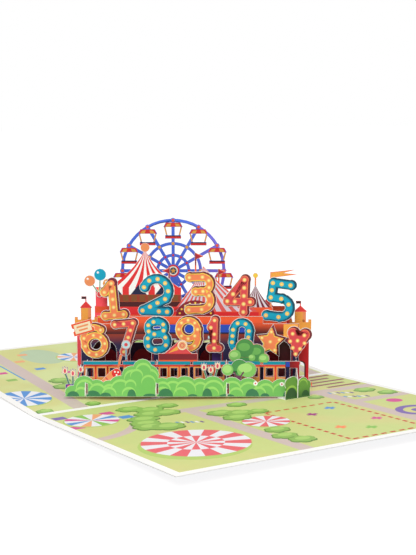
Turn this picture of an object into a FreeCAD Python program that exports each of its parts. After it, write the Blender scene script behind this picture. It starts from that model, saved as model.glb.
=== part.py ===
import FreeCAD, Part
import os
from math import atan, ceil, cos, degrees, pi, radians, sin, sqrt, tan

# Pop-up funfair card, opened, in millimetres.
# The fold runs along X, the near half of the card reaches towards -Y and +Z is up.
# The origin is on the floor, under the middle of the fold.

os.makedirs("parts", exist_ok=True)
doc = FreeCAD.newDocument("PopUpCard")

# Driving dimensions
sheet = doc.addObject("Spreadsheet::Sheet", "Sizes")
driving = [
    ("card_length", 200.0),
    ("half_width", 150.0),
    ("cover_thickness", 0.5),
    ("spine_width", 4.4),
    ("half_rise_deg", 2.35),
    ("layer_thickness", 0.35),
    ("slot_clearance", 0.05),
    ("lattice_length", 118.5),
    ("lattice_depth", 39.5),
    ("lattice_lift", 2.9),
    ("layer_overhang", 1.5),
    ("brace_overhang", 3.2),
    ("brace_tab", 0.6),
    ("brace_tab_low", 4.4),
    ("brace_tab_top", 10.6),
    ("brace_foot_top", 13.4),
    ("brace_train_top", 16.0),
    ("brace_station_top", 19.5),
    ("brace_middle_top", 36.0),
    ("brace_back_top", 30.0),
    ("slot_share", 0.6),
    ("foot_length", 17.0),
    ("foot_top", 14.5),
    ("glue_flap", 7.0),
    ("glue_gap", 0.02),
    ("hedge_top", 14.0),
    ("train_top", 21.8),
    ("station_top", 46.2),
    ("station_end_top", 42.0),
    ("wall_top", 50.0),
    ("wheel_radius", 29.6),
    ("wheel_ring_width", 2.0),
    ("hub_height", 68.6),
    ("hub_offset", -11.1),
    ("upper_stroke", 6.0),
    ("lower_stroke", 5.4),
]
for number, (alias, value) in enumerate(driving, start=1):
    sheet.set("A%d" % number, alias)
    sheet.set("B%d" % number, "%g" % value)
    sheet.setAlias("B%d" % number, alias)
doc.recompute()


def size(alias):
    return float(sheet.get(alias))


card_length = size("card_length")
half_width = size("half_width")
cover = size("cover_thickness")
spine = size("spine_width")
rise = radians(size("half_rise_deg"))
sheet_thick = size("layer_thickness")
clear = size("slot_clearance")
length = size("lattice_length")
depth = size("lattice_depth")
lift = size("lattice_lift")
slot_width = sheet_thick + 2 * clear
glue_gap = size("glue_gap")

# The lattice of layers and braces closes flat with the card when
# length * (1 - cos(turn)) equals depth * (1 - sin(turn)).
turn = 2 * atan(1 / (1 + sqrt(2 * length / depth)))
lattice_turn = FreeCAD.Rotation(FreeCAD.Vector(0, 0, 1), -degrees(turn))
stand_up = FreeCAD.Rotation(FreeCAD.Vector(1, 0, 0), 90)


# Flat outlines, drawn with x to the right and height up
small_sides = 16
large_sides = 48
pole_width = 1.0


def polygon(points):
    swept = sum(a[0] * b[1] - b[0] * a[1] for a, b in zip(points, points[1:] + points[:1]))
    if swept < 0:
        points = points[::-1]
    corners = [FreeCAD.Vector(x, height, 0) for x, height in points]
    return Part.Face(Part.makePolygon(corners + corners[:1]))


def block(left, right, low, high):
    return polygon([(left, low), (right, low), (right, high), (left, high)])


def round_points(x, height, radius, first, last, sides):
    """Points along an arc, in even short runs that a cutting knife takes as round."""
    turns = [radians(first + (last - first) * number / sides) for number in range(sides + 1)]
    return [(x + radius * cos(a), height + radius * sin(a)) for a in turns]


def disc(x, height, radius, sides=small_sides):
    return polygon(round_points(x, height, radius, 0, 360, sides)[:-1])


def ring(x, height, radius, width, sides):
    hole = disc(x, height, radius - width / 2, sides)
    return disc(x, height, radius + width / 2, sides).cut(hole).Faces[0]


def bar(start, end, width):
    run = sqrt((end[0] - start[0]) ** 2 + (end[1] - start[1]) ** 2)
    side_x = (start[1] - end[1]) / run * width / 2
    side_up = (end[0] - start[0]) / run * width / 2
    return polygon([
        (start[0] + side_x, start[1] + side_up),
        (start[0] - side_x, start[1] - side_up),
        (end[0] - side_x, end[1] - side_up),
        (end[0] + side_x, end[1] + side_up),
    ])


def arc_band(x, height, radius, width, first, last):
    sides = ceil(abs(last - first) * small_sides / 360)
    outer = round_points(x, height, radius + width / 2, first, last, sides)
    inner = round_points(x, height, radius - width / 2, last, first, sides)
    return polygon(outer + inner)


def arch(x, width, low, spring):
    return join([block(x - width / 2, x + width / 2, low, spring), disc(x, spring, width / 2)])


def join(faces):
    united = faces[0]
    if len(faces) > 1:
        united = faces[0].multiFuse(faces[1:]).removeSplitter()
    if len(united.Faces) != 1:
        raise ValueError("an outline fell into %d pieces" % len(united.Faces))
    return united.Faces[0]


def cut_out(face, holes):
    left = face.cut(holes).removeSplitter()
    if len(left.Faces) != 1:
        raise ValueError("a cut left %d pieces" % len(left.Faces))
    return left.Faces[0]


def pennant(x, low, high, flag_high, flag_length):
    pole = block(x - pole_width / 2, x + pole_width / 2, low, high)
    flag = polygon([(x, high), (x + flag_length, high - flag_high / 2), (x, high - flag_high)])
    return join([pole, flag])


# Pieces of layer card

def layer_piece(name, outline, front):
    """One die-cut piece that stands along the lattice, with its front face at the given depth."""
    face = doc.addObject("Part::Feature", name + "_outline")
    face.Shape = outline
    piece = doc.addObject("Part::Extrusion", name)
    piece.Base = face
    piece.DirMode = "Custom"
    piece.Dir = FreeCAD.Vector(0, 0, 1)
    piece.Solid = True
    piece.setExpression("LengthFwd", "Sizes.layer_thickness")
    piece.Label = name
    back = lattice_turn.multVec(FreeCAD.Vector(0, front + sheet_thick, 0))
    piece.Placement = FreeCAD.Placement(back, lattice_turn.multiply(stand_up))
    pieces.append(piece)
    return piece


def along(x):
    """A place along a layer, drawn for a lattice 118.5 mm long and carried to the real one."""
    return x * length / drawn_length


pieces = []
drawn_length = 118.5
half_length = length / 2
half_depth = depth / 2
row_pitch = depth / 6
hedge_row = -half_depth
train_row = hedge_row + row_pitch
station_row = train_row + row_pitch
tents_row = station_row + row_pitch
castle_row = tents_row + row_pitch
wheel_row = half_depth
cell = length / 3
brace_places = [-half_length, -half_length + cell, half_length - cell, half_length]
bays = [-half_length + (number + 0.5) * cell / 2 for number in range(6)]
row_end = half_length + size("layer_overhang")


# Braces, which cross every layer with a half-lap slot
brace_end = half_depth + size("brace_overhang")
tab_end = half_depth + size("brace_tab")
front_tab = [(-tab_end, size("brace_tab_low")), (-tab_end, size("brace_tab_top"))]
front_foot_end = [(-brace_end, lift), (-brace_end, size("brace_foot_top"))]
brace_tops = [
    # distance back from the middle of the lattice, height
    (brace_end, size("foot_top")),
    (half_depth - 1.5, size("brace_back_top")),
    (tents_row, size("brace_middle_top")),
    (station_row - 1.0, size("brace_station_top")),
    (train_row - 2.0, size("brace_train_top")),
    (-tab_end, size("brace_tab_top")),
]


def brace_top(row):
    """Height of a brace's sloping top edge at a row."""
    for (first, low), (second, high) in zip(brace_tops, brace_tops[1:]):
        if second <= row <= first:
            return low + (high - low) * (row - first) / (second - first)
    raise ValueError("the row lies off the brace")


def split_height(row):
    return lift + size("slot_share") * (brace_top(row) - lift)


def crossed(outline, row):
    """A layer's outline with its slots for the braces, open at the bottom."""
    slots = [block(place - slot_width / 2, place + slot_width / 2,
                   lift - 1, split_height(row) + clear) for place in brace_places]
    return cut_out(outline, slots)


foot_split = lift + size("slot_share") * (size("foot_top") - lift)
foot_crossing = sheet_thick / cos(turn) + sheet_thick * tan(turn) + 4 * clear


def brace_outline(front_foot, back_foot):
    front = front_foot_end if front_foot else [(-half_depth + 1.0, lift)] + front_tab
    outline = polygon([(brace_end, lift)] + brace_tops[:-1] + front[::-1])
    rows = [hedge_row, train_row, station_row, tents_row, castle_row, wheel_row]
    slots = [block(row - slot_width / 2, row + slot_width / 2,
                   split_height(row) - clear, brace_top(row) + 6) for row in rows]
    for fitted, side in ((front_foot, -1), (back_foot, 1)):
        if fitted:
            middle = side * foot_row
            slots.append(block(middle - foot_crossing / 2, middle + foot_crossing / 2,
                               lift - 1, foot_split + clear))
    return cut_out(outline, slots)


foot_row = half_depth + size("brace_overhang") / 2
quarter = FreeCAD.Rotation(FreeCAD.Vector(0, 0, 1), 90)

for number, place in enumerate(brace_places, start=1):
    outline = brace_outline(number == len(brace_places), number == 1)
    face = doc.addObject("Part::Feature", "brace_%d_outline" % number)
    face.Shape = outline
    brace = doc.addObject("Part::Extrusion", "brace_%d" % number)
    brace.Base = face
    brace.DirMode = "Custom"
    brace.Dir = FreeCAD.Vector(0, 0, 1)
    brace.Solid = True
    brace.setExpression("LengthFwd", "Sizes.layer_thickness")
    brace.Label = "brace_%d" % number
    side = lattice_turn.multVec(FreeCAD.Vector(place - sheet_thick / 2, 0, 0))
    brace.Placement = FreeCAD.Placement(side, lattice_turn.multiply(quarter.multiply(stand_up)))
    pieces.append(brace)


# Front layers: hedge, train and what is glued to the hedge's back
hedge_top = size("hedge_top")
hedge_lobes = [
    # x, height of the lobe's top above the hedge's own top, radius
    (-66.6, -4.6, 4.2),
    (-60.0, 0.9, 6.0),
    (-53.0, -1.2, 5.6),
    (-46.0, -1.6, 5.6),
    (-40.0, 1.0, 6.4),
    (-33.2, 6.6, 5.8),
    (-27.2, 10.4, 5.4),
    (-23.6, 7.0, 5.6),
    (-16.4, -0.2, 5.4),
    (-10.6, 0.2, 6.0),
    (-3.6, 0.8, 6.8),
    (4.6, -0.4, 5.0),
    (12.0, 0.7, 6.8),
    (22.6, 0.2, 6.0),
    (31.6, -0.3, 6.4),
    (41.2, -1.2, 5.4),
    (50.0, -0.8, 6.0),
    (57.2, -0.4, 5.0),
]
hedge_band = 0.62 * hedge_top
hedge_tip = 10.6
hedge_faces = [polygon([(-row_end - hedge_tip, lift), (row_end, lift), (row_end, hedge_band),
                        (-row_end - 2.2, hedge_band)])]
for x, above, radius in hedge_lobes:
    hedge_faces.append(disc(along(x), hedge_top + above - radius, radius))
hedge_faces.append(block(along(-39.0), along(-21.0), lift, hedge_top))
under_hedge = block(-length, length, lift - hedge_top, lift)
past_end = block(row_end, length, lift, 2 * hedge_top)
tab_windows = [block(place, place + 1.3, size("brace_tab_low"), size("brace_tab_top") - 0.2)
               for place in brace_places[:-1]]
hedge_outline = cut_out(join(hedge_faces), [under_hedge, past_end] + tab_windows)
layer_piece("hedge", crossed(hedge_outline, hedge_row), hedge_row - sheet_thick / 2)

glued_behind_hedge = hedge_row + sheet_thick / 2 + glue_gap


def tulips(x, stem_foot, spread):
    """A bunch of three tall tulips."""
    faces = [block(x - 4.2, x + 4.2, stem_foot, stem_foot + 3.0)]
    for lean, height in ((-spread, 9.6), (0.0, 8.2), (spread, 10.4)):
        head = (x + lean, stem_foot + height)
        faces.append(bar((x + lean / 3, stem_foot + 1.0), head, 1.1))
        faces.append(disc(head[0], head[1] + 0.6, 1.7))
        faces.append(polygon([(head[0] - 1.6, head[1] + 0.9), (head[0] + 1.6, head[1] + 0.9),
                              (head[0] + 1.5, head[1] + 3.6), (head[0] + 0.75, head[1] + 2.4),
                              (head[0], head[1] + 3.9), (head[0] - 0.75, head[1] + 2.4),
                              (head[0] - 1.5, head[1] + 3.6)]))
    return join(faces)


def tree(x, foot):
    """A round tree with three lumps of leaves."""
    return join([
        block(x - 1.4, x + 1.4, foot, foot + 9.0),
        disc(x - 6.2, foot + 10.2, 3.4),
        disc(x + 0.4, foot + 11.4, 4.8),
        disc(x + 5.4, foot + 10.2, 4.6),
    ])


def cone(x, foot):
    """A slanted paper cone with a ball at its wide end."""
    return join([
        polygon([(x - 5.4, foot + 4.4), (x - 2.0, foot), (x + 6.6, foot + 8.2), (x + 2.4, foot + 12.4)]),
        disc(x + 4.9, foot + 10.6, 2.8),
    ])


layer_piece("left_tulips", tulips(along(-66.2), 7.0, 4.4), glued_behind_hedge)
layer_piece("middle_tulips", tulips(along(10.8), 9.0, 3.8), glued_behind_hedge)
layer_piece("garden_tree", tree(along(26.4), 8.0), glued_behind_hedge)
layer_piece("party_cone", cone(along(-46.8), 5.6), glued_behind_hedge)

# Train with its kiosk and the trees behind it, cut as one sheet
train_top = size("train_top")
roof = 2.0
car_low = 5.6
car_gap = 2.0
car_ends = [-row_end] + [x - cell / 4 for x in bays[1:]] + [row_end]
cars = [(left + car_gap / 2, right - car_gap / 2) for left, right in zip(car_ends, car_ends[1:])]
cars[0] = (-row_end, cars[0][1])
cars[-1] = (cars[-1][0], row_end)
windows_in_car = 3
train_faces = [
    block(-row_end, row_end, lift, car_low + 0.5),
    block(cars[0][0], cars[-1][1], train_top - roof - 1.4, train_top - roof),
]
window_holes = []
for left, right in cars:
    train_faces.append(block(left, right, car_low, train_top - roof + 0.2))
    train_faces.append(block(left - 0.5, right + 0.5, train_top - roof, train_top))
    share = (right - left) / windows_in_car
    for number in range(windows_in_car):
        middle = left + share * (number + 0.5)
        window_holes.append(block(middle - share * 0.31, middle + share * 0.31, 12.8, 17.8))
tree_lumps = [(-8.0, 3.2, 3.6), (-2.4, 7.6, 5.4), (4.2, 5.2, 4.8), (8.2, 1.4, 3.2)]
tree_x = along(32.4)
kiosk_x = along(-7.5)
lamp_x = along(-36.8)
for x, above, radius in tree_lumps:
    train_faces.append(disc(tree_x + x, train_top + above, radius))
train_faces += [
    block(tree_x - 9.8, tree_x + 8.6, train_top - 0.5, train_top + 2.4),
    block(kiosk_x - 11.1, kiosk_x + 10.9, train_top - 0.5, train_top + 4.4),
    polygon([(kiosk_x - 8.1, train_top + 4.0), (kiosk_x + 8.1, train_top + 4.0),
             (kiosk_x, train_top + 11.2)]),
    disc(kiosk_x + 2.3, train_top + 9.0, 3.0),
    bar((lamp_x, train_top - 0.5), (lamp_x, train_top + 9.0), pole_width),
    disc(lamp_x, train_top + 9.4, 2.6),
    bar((lamp_x - 4.8, train_top - 5.0), (lamp_x - 2.8, train_top + 3.6), 1.6),
]
train_outline = cut_out(join(train_faces), window_holes)
layer_piece("train", crossed(train_outline, train_row), train_row - sheet_thick / 2)

# Station arcade, which carries the lower row of numerals
station_top = size("station_top")
station_arch = 13.6
station_faces = [
    block(-row_end - 2.0, row_end, lift, size("station_end_top")),
    block(along(-35.4), along(40.4), lift, station_top),
]
station_holes = [arch(x, station_arch, 9.0, 26.0) for x in bays]
station_outline = cut_out(join(station_faces), station_holes)
layer_piece("station", crossed(station_outline, station_row), station_row - sheet_thick / 2)

# Tents, which carry the upper row of numerals
leg_height = 34.0


def tent(apex_x, apex_height, left, right, eave, sag):
    """A marquee roof whose sides sag between the apex and the eave."""
    def side(foot):
        middle = FreeCAD.Vector(apex_x + (foot - apex_x) * (0.5 - sag), (apex_height + eave) / 2, 0)
        return Part.Arc(FreeCAD.Vector(foot, eave, 0), middle,
                        FreeCAD.Vector(apex_x, apex_height, 0)).toShape()
    floor = Part.makeLine(FreeCAD.Vector(left, eave, 0), FreeCAD.Vector(right, eave, 0))
    return Part.Face(Part.Wire([floor, side(right), side(left)]))


tent_faces = [
    block(along(-54.0), along(54.0), leg_height, 45.6),
    block(along(-47.0), along(-6.0), 45.0, 61.6),
    block(along(-8.0), along(38.4), 45.0, 48.0),
    block(along(28.0), along(46.0), 45.0, 50.4),
    tent(along(-26.4), 83.4, along(-48.0), along(-6.6), 61.4, 0.14),
    disc(along(-26.4), 84.6, 2.6),
    tent(along(6.6), 74.0, along(-12.0), along(39.0), 47.6, 0.09),
    tent(along(36.2), 63.4, along(27.6), along(45.4), 50.0, 0.10),
    bar((along(36.2), 62.0), (along(36.2), 68.4), pole_width),
    disc(along(36.2), 68.6, 1.5),
    pennant(along(2.2), 66.0, 81.6, 4.0, 4.6),
    pennant(along(15.4), 58.0, 72.4, 3.4, 4.2),
    pennant(along(-12.8), 56.0, 73.0, 3.4, -4.2),
]
pole_x = along(45.0)
tent_faces.append(block(pole_x - pole_width / 2, pole_x + pole_width / 2, 45.0, 70.6))
tent_faces.append(polygon([(pole_x, 67.2), (pole_x + 15.0, 69.2), (pole_x + 7.0, 70.0),
                           (pole_x + 14.0, 72.0), (pole_x, 70.6)]))
for place in brace_places:
    inner = place + (8.0 if place < 0 else -8.0)
    tent_faces.append(block(min(place, inner) - 1.6, max(place, inner) + 1.6, lift, leg_height + 1))
layer_piece("tents", crossed(join(tent_faces), tents_row), tents_row - sheet_thick / 2)

# Castle wall with its towers
wall_top = size("wall_top")


def tower(x, half, parapet, turret_half, turret_top, cap_top):
    """A gate tower with a crenellated parapet, a turret, a cone cap and a flag."""
    merlon = 2 * half / 7
    faces = [
        block(x - half, x + half, parapet - 7.0, parapet - 1.6),
        block(x - turret_half, x + turret_half, parapet - 2.0, turret_top),
        polygon([(x - turret_half - 0.7, turret_top - 0.1), (x + turret_half + 0.7, turret_top - 0.1),
                 (x, cap_top)]),
        block(x - 0.4, x + 0.4, cap_top - 1.2, cap_top + 2.6),
        block(x - 2.6, x + 0.4, cap_top + 0.9, cap_top + 2.6),
    ]
    for number in range(0, 7, 2):
        left = x - half + number * merlon
        faces.append(block(left, left + merlon, parapet - 2.0, parapet))
    return faces


castle_left = along(-66.4)
castle_right = along(67.6)
castle_faces = [
    block(castle_left, castle_right, lift, 32.0),
    polygon([(castle_left - 3.4, lift), (castle_left + 0.4, lift), (castle_left + 0.4, 8.0)]),
    polygon([(castle_right - 0.4, lift), (castle_right + 2.4, lift), (castle_right - 0.4, 8.0)]),
    block(along(-56.0), along(57.4), 30.0, wall_top),
    block(along(-55.4), along(-48.6), 45.0, 61.0),
    block(castle_left, along(-54.0), 30.0, 38.0),
    block(along(55.6), castle_right, 30.0, 36.0),
    block(along(39.6), along(46.4), 48.0, 50.6),
    polygon([(along(39.6), 50.4), (along(46.4), 50.4), (along(43.0), 54.4)]),
]
castle_faces += tower(along(-61.0), 6.6, 43.6, 3.0, 49.0, 53.0)
castle_faces += tower(along(62.4), 6.4, 42.2, 3.3, 46.8, 50.4)
castle_arch = 12.0
castle_holes = [arch(x, castle_arch, 9.0, 24.0) for x in bays]
castle_holes.append(arch(along(62.8), 4.4, 8.6, 15.0))
castle_holes.append(disc(along(53.4), 44.4, 1.6))
castle_outline = cut_out(join(castle_faces), castle_holes)
layer_piece("castle", crossed(castle_outline, castle_row), castle_row - sheet_thick / 2)
knot_x = along(-53.0)
knot_height = 56.8
balloon_faces = [disc(knot_x, knot_height, 1.8)]
for x, height, radius in ((-5.6, 64.6, 3.3), (0.4, 68.2, 3.6), (4.6, 63.0, 2.9)):
    balloon_faces.append(disc(knot_x + x, height, radius))
    balloon_faces.append(bar((knot_x + x, height), (knot_x, knot_height), 0.9))
balloon_bunch = join(balloon_faces)
layer_piece("balloons", balloon_bunch, castle_row - sheet_thick * 1.5 - glue_gap)

# Observation wheel, with its cabins and its trestle, cut as one sheet
wheel_x = size("hub_offset")
wheel_height = size("hub_height")
rim = size("wheel_radius")
rim_width = size("wheel_ring_width")
spoke_count = 12
wheel_faces = [
    ring(wheel_x, wheel_height, rim, rim_width, large_sides),
    ring(wheel_x, wheel_height, 0.54 * rim, rim_width, large_sides),
    ring(wheel_x, wheel_height, 0.31 * rim, rim_width, large_sides // 2),
    disc(wheel_x, wheel_height, 0.13 * rim),
]
for number in range(spoke_count):
    angle = 2 * pi * number / spoke_count
    tip = (wheel_x + rim * cos(angle), wheel_height + rim * sin(angle))
    wheel_faces.append(bar((wheel_x, wheel_height), tip, rim_width))
    wheel_faces.append(disc(tip[0], tip[1], 0.8 * rim_width, 8))
    eave = tip[1] - 4.0
    floor = tip[1] - 9.2
    wheel_faces.append(polygon([(tip[0] - 5.7, eave), (tip[0] - 4.2, tip[1] - 1.2),
                                (tip[0] + 4.2, tip[1] - 1.2), (tip[0] + 5.7, eave)]))
    wheel_faces.append(bar((tip[0] - 4.9, eave + 0.3), (tip[0] - 3.6, floor + 0.3), 1.0))
    wheel_faces.append(bar((tip[0] + 4.9, eave + 0.3), (tip[0] + 3.6, floor + 0.3), 1.0))
    wheel_faces.append(block(tip[0] - 4.7, tip[0] + 4.7, floor - 1.6, floor + 0.5))
trestle_foot = 15.0
wheel_faces.append(bar((wheel_x, wheel_height), (wheel_x - trestle_foot, lift + 4), 2.4))
wheel_faces.append(bar((wheel_x, wheel_height), (wheel_x + trestle_foot, lift + 4), 2.4))
wheel_faces.append(bar((wheel_x - 8.0, 30.0), (wheel_x + 8.0, 30.0), 2.0))
wheel_faces.append(block(-row_end, row_end, lift, 26.0))
layer_piece("wheel", crossed(join(wheel_faces), wheel_row), wheel_row - sheet_thick / 2)


# Numerals and shapes, each cut as its own plate

def strokes(sign, w, h):
    """Centre lines of a sign in a box of w by h, as lines and arcs."""
    r = w / 2
    low = 0.28 * h
    top = 0.22 * h
    if sign == "1":
        return [("line", 0.16 * w, 0.74 * h, r, h), ("line", r, h, r, 0), ("line", 0.1 * w, 0, 0.9 * w, 0)]
    if sign == "2":
        end = radians(-38)
        return [("arc", r, h - r, r, 165, -38),
                ("line", r + r * cos(end), h - r + r * sin(end), 0, 0), ("line", 0, 0, w, 0)]
    if sign == "3":
        return [("line", 0.08 * w, h, w - top, h), ("arc", w - top, h - top, top, 90, -90),
                ("line", w - top, h - 2 * top, 0.34 * w, h - 2 * top),
                ("arc", w - low, low, low, 90, -90), ("line", w - low, 0, 0, 0)]
    if sign == "4":
        return [("line", 0.72 * w, 0, 0.72 * w, h), ("line", 0.72 * w, h, 0, 0.32 * h),
                ("line", 0, 0.32 * h, w, 0.32 * h)]
    if sign == "5":
        return [("line", 0.9 * w, h, 0.1 * w, h), ("line", 0.1 * w, h, 0.1 * w, 2 * low),
                ("line", 0.1 * w, 2 * low, w - low, 2 * low), ("arc", w - low, low, low, 90, -90),
                ("line", w - low, 0, 0, 0)]
    if sign == "6":
        return [("arc", r, h - r, r, 180, 38), ("line", 0, h - r, 0, r), ("arc", r, r, r, 180, 540)]
    if sign == "7":
        return [("line", 0, h, w, h), ("line", w, h, 0.36 * w, 0)]
    if sign == "8":
        side = 0.08 * w
        return [("arc", low, low, low, 90, 270), ("line", low, 0, w - low, 0),
                ("arc", w - low, low, low, -90, 90), ("line", w - low, 2 * low, low, 2 * low),
                ("arc", side + top, h - top, top, 90, 270), ("arc", w - side - top, h - top, top, -90, 90),
                ("line", side + top, h, w - side - top, h)]
    if sign == "9":
        return [("arc", r, h - r, r, 0, 360), ("line", w, h - r, w, r), ("arc", r, r, r, 0, -142)]
    if sign == "0":
        return [("arc", r, h - r, r, 0, 180), ("line", 0, h - r, 0, r), ("arc", r, r, r, 180, 360),
                ("line", w, r, w, h - r)]
    raise ValueError("no sign " + sign)


def sign_face(sign, w, h, thick):
    """The sign's own outline, with its lower left corner at the origin."""
    if sign == "star":
        points = []
        for number in range(10):
            reach = 1.0 if number % 2 == 0 else 0.52
            angle = pi / 2 + number * pi / 5
            points.append((w / 2 * (1 + reach * cos(angle)), 0.46 * h + reach * 0.54 * h * sin(angle)))
        return polygon(points)
    if sign == "heart":
        bump = 0.27 * w
        point = polygon([(0.05 * w, h - 1.5 * bump), (w / 2, 0), (0.95 * w, h - 1.5 * bump),
                         (w / 2, h - bump)])
        return join([disc(bump, h - bump, bump), disc(w - bump, h - bump, bump), point])
    half = thick / 2
    knob = 0.55 * thick
    faces = []
    for kind, *place in strokes(sign, w - thick, h - thick):
        if kind == "line":
            start = (place[0] + half, place[1] + half)
            end = (place[2] + half, place[3] + half)
            faces.append(bar(start, end, thick))
        else:
            x, height, radius, first, last = place
            x = x + half
            height = height + half
            if abs(last - first) == 360:
                faces.append(ring(x, height, radius, thick, small_sides))
                continue
            faces.append(arc_band(x, height, radius, thick, first, last))
            start = (x + radius * cos(radians(first)), height + radius * sin(radians(first)))
            end = (x + radius * cos(radians(last)), height + radius * sin(radians(last)))
        faces.append(disc(start[0], start[1], knob))
        faces.append(disc(end[0], end[1], knob))
    return join(faces)


def plate_outline(sign, x, height, w, h, thick, lean):
    """A sign centred at a place and leaning to the left by some degrees."""
    plate = sign_face(sign, w, h, thick)
    plate.translate(FreeCAD.Vector(x - w / 2, height - h / 2, 0))
    plate.rotate(FreeCAD.Vector(x, height, 0), FreeCAD.Vector(0, 0, 1), lean)
    return plate


# sign, x of its middle, height of its middle, width, height, lean
upper_signs = [
    ("1", -44.4, 55.2, 19.0, 24.4, 5.0),
    ("2", -20.0, 57.6, 20.0, 24.6, -3.0),
    ("3", 4.8, 58.6, 18.6, 24.6, 2.0),
    ("4", 27.4, 57.2, 19.0, 24.6, -2.0),
    ("5", 50.4, 54.4, 18.6, 25.0, -8.0),
]
lower_signs = [
    ("6", -54.6, 32.4, 16.6, 21.2, 8.0),
    ("7", -37.2, 34.2, 15.6, 21.4, 5.0),
    ("8", -19.4, 35.4, 16.6, 21.4, 3.0),
    ("9", -1.4, 36.2, 16.0, 21.6, 0.0),
    ("1", 13.4, 36.2, 11.4, 21.4, -1.0),
    ("0", 28.2, 34.8, 14.4, 21.6, -5.0),
    ("star", 45.2, 32.6, 18.6, 19.0, -6.0),
    ("heart", 60.4, 31.0, 14.6, 18.6, -8.0),
]
row_names = {"star": "lower_star", "heart": "lower_heart"}
upper_front = tents_row - sheet_thick * 1.5 - glue_gap
lower_front = station_row - sheet_thick * 1.5 - glue_gap
for sign, x, height, w, h, lean in upper_signs:
    outline = plate_outline(sign, along(x), height, w, h, size("upper_stroke"), lean)
    layer_piece("upper_numeral_" + sign, outline, upper_front)
for sign, x, height, w, h, lean in lower_signs:
    outline = plate_outline(sign, along(x), height, w, h, size("lower_stroke"), lean)
    layer_piece(row_names.get(sign, "lower_numeral_" + sign), outline, lower_front)

# Ticket, glued to the first numeral
ticket_x = along(-61.5)
ticket_height = 39.8
ticket_half = 6.1
ticket_bites = [disc(ticket_x + side * ticket_half, ticket_height, 1.0) for side in (-1, 1)]
ticket_sheet = block(ticket_x - ticket_half, ticket_x + ticket_half,
                     ticket_height - 3.6, ticket_height + 3.6)
ticket = cut_out(ticket_sheet, ticket_bites)
ticket.rotate(FreeCAD.Vector(ticket_x, ticket_height, 0), FreeCAD.Vector(0, 0, 1), 16)
layer_piece("ticket", ticket, lower_front - sheet_thick - glue_gap)


# Corner feet, which stand along the fold, cross a brace's end and are glued to the cover

def cover_top(away):
    """Height of the cover's upper face at a distance from the fold."""
    return cover / cos(rise) + (away - spine / 2) * tan(rise)


def corner_foot(name, outline_high, turned):
    corner = lattice_turn.multVec(FreeCAD.Vector(half_length, -foot_row, 0))
    away = -corner.y
    near = away + sheet_thick / 2
    far = away - sheet_thick / 2
    reach = far - size("glue_flap")
    half_foot = size("foot_length") / 2
    bend = 0.6
    profile = [(-near, cover_top(near)), (-reach, cover_top(reach)),
               (-reach, cover_top(reach) + sheet_thick), (-far, cover_top(far) + sheet_thick),
               (-far, cover_top(far) + sheet_thick + bend), (-near, cover_top(far) + sheet_thick + bend)]
    corners = [FreeCAD.Vector(corner.x - half_foot, y, z) for y, z in profile]
    flap = Part.Face(Part.makePolygon(corners + corners[:1])).extrude(FreeCAD.Vector(2 * half_foot, 0, 0))
    base_height = cover_top(far) + sheet_thick
    faces = [block(-half_foot, half_foot, base_height, base_height + 4.6)]
    for x, above, radius in outline_high:
        faces.append(disc(x, size("foot_top") + above - radius, radius))
    faces.append(block(-half_foot + 1.2, half_foot - 1.2, base_height + 3, size("foot_top") - 4.0))
    below = block(-40, 40, base_height - 20, base_height)
    slot = block(-foot_crossing / 2, foot_crossing / 2, foot_split - clear, size("foot_top") + 10)
    upright = cut_out(join(faces), [below, slot]).extrude(FreeCAD.Vector(0, 0, sheet_thick))
    upright.Placement = FreeCAD.Placement(FreeCAD.Vector(corner.x, -far, 0), stand_up)
    solid = upright.fuse(flap).removeSplitter()
    foot = doc.addObject("Part::Feature", name)
    foot.Shape = solid.Solids[0]
    foot.Label = name
    if turned:
        foot.Placement = FreeCAD.Placement(FreeCAD.Vector(0, 0, 0), FreeCAD.Rotation(180, 0, 0))
    pieces.append(foot)


bush_lobes = [(-5.4, 0.4, 3.6), (-3.4, 0.9, 3.4), (3.6, -0.4, 3.4), (6.0, -2.2, 3.2)]
corner_foot("corner_bush", bush_lobes, False)
corner_foot("rear_corner_foot", bush_lobes, True)

# Cover, one sheet folded along two scores, with its halves a little raised
cover_body = doc.addObject("PartDesign::Body", "cover")
cover_body.Label = "cover"
side_plane = [f for f in cover_body.Origin.OriginFeatures if f.Role == "YZ_Plane"][0]
profile = cover_body.newObject("Sketcher::SketchObject", "cover_profile")
profile.AttachmentSupport = [(side_plane, "")]
profile.MapMode = "FlatFace"
leaf = half_width - spine / 2
inner_corner = spine / 2 - cover * tan(rise / 2)
outline = [
    (spine / 2, 0),
    (spine / 2 + leaf * cos(rise), leaf * sin(rise)),
    (spine / 2 + leaf * cos(rise) - cover * sin(rise), leaf * sin(rise) + cover * cos(rise)),
    (inner_corner, cover),
]
outline += [(-y, z) for y, z in reversed(outline)]
for (y, z), (next_y, next_z) in zip(outline, outline[1:] + outline[:1]):
    profile.addGeometry(Part.LineSegment(FreeCAD.Vector(y, z, 0), FreeCAD.Vector(next_y, next_z, 0)))
doc.recompute()
fold = cover_body.newObject("PartDesign::Pad", "cover_fold")
fold.Profile = profile
fold.Midplane = True
fold.setExpression("Length", "Sizes.card_length")
pieces.append(cover_body)

doc.recompute()
for item in doc.Objects:
    if "Invalid" in item.State or "Error" in item.State:
        raise RuntimeError(item.Label + " failed")
for piece in pieces:
    if piece.Shape.isNull() or not piece.Shape.isValid() or len(piece.Shape.Solids) != 1:
        raise RuntimeError(piece.Label + " is not one sound solid")
for piece in pieces:
    piece.Shape.exportStep("parts/%s.step" % piece.Label)
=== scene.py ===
"""Prints and lights an opened pop-up funfair card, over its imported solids."""

from math import atan2, ceil, cos, hypot, pi, radians, sin, sqrt, tan

import bmesh
import bpy
from mathutils import Matrix, Vector


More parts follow.
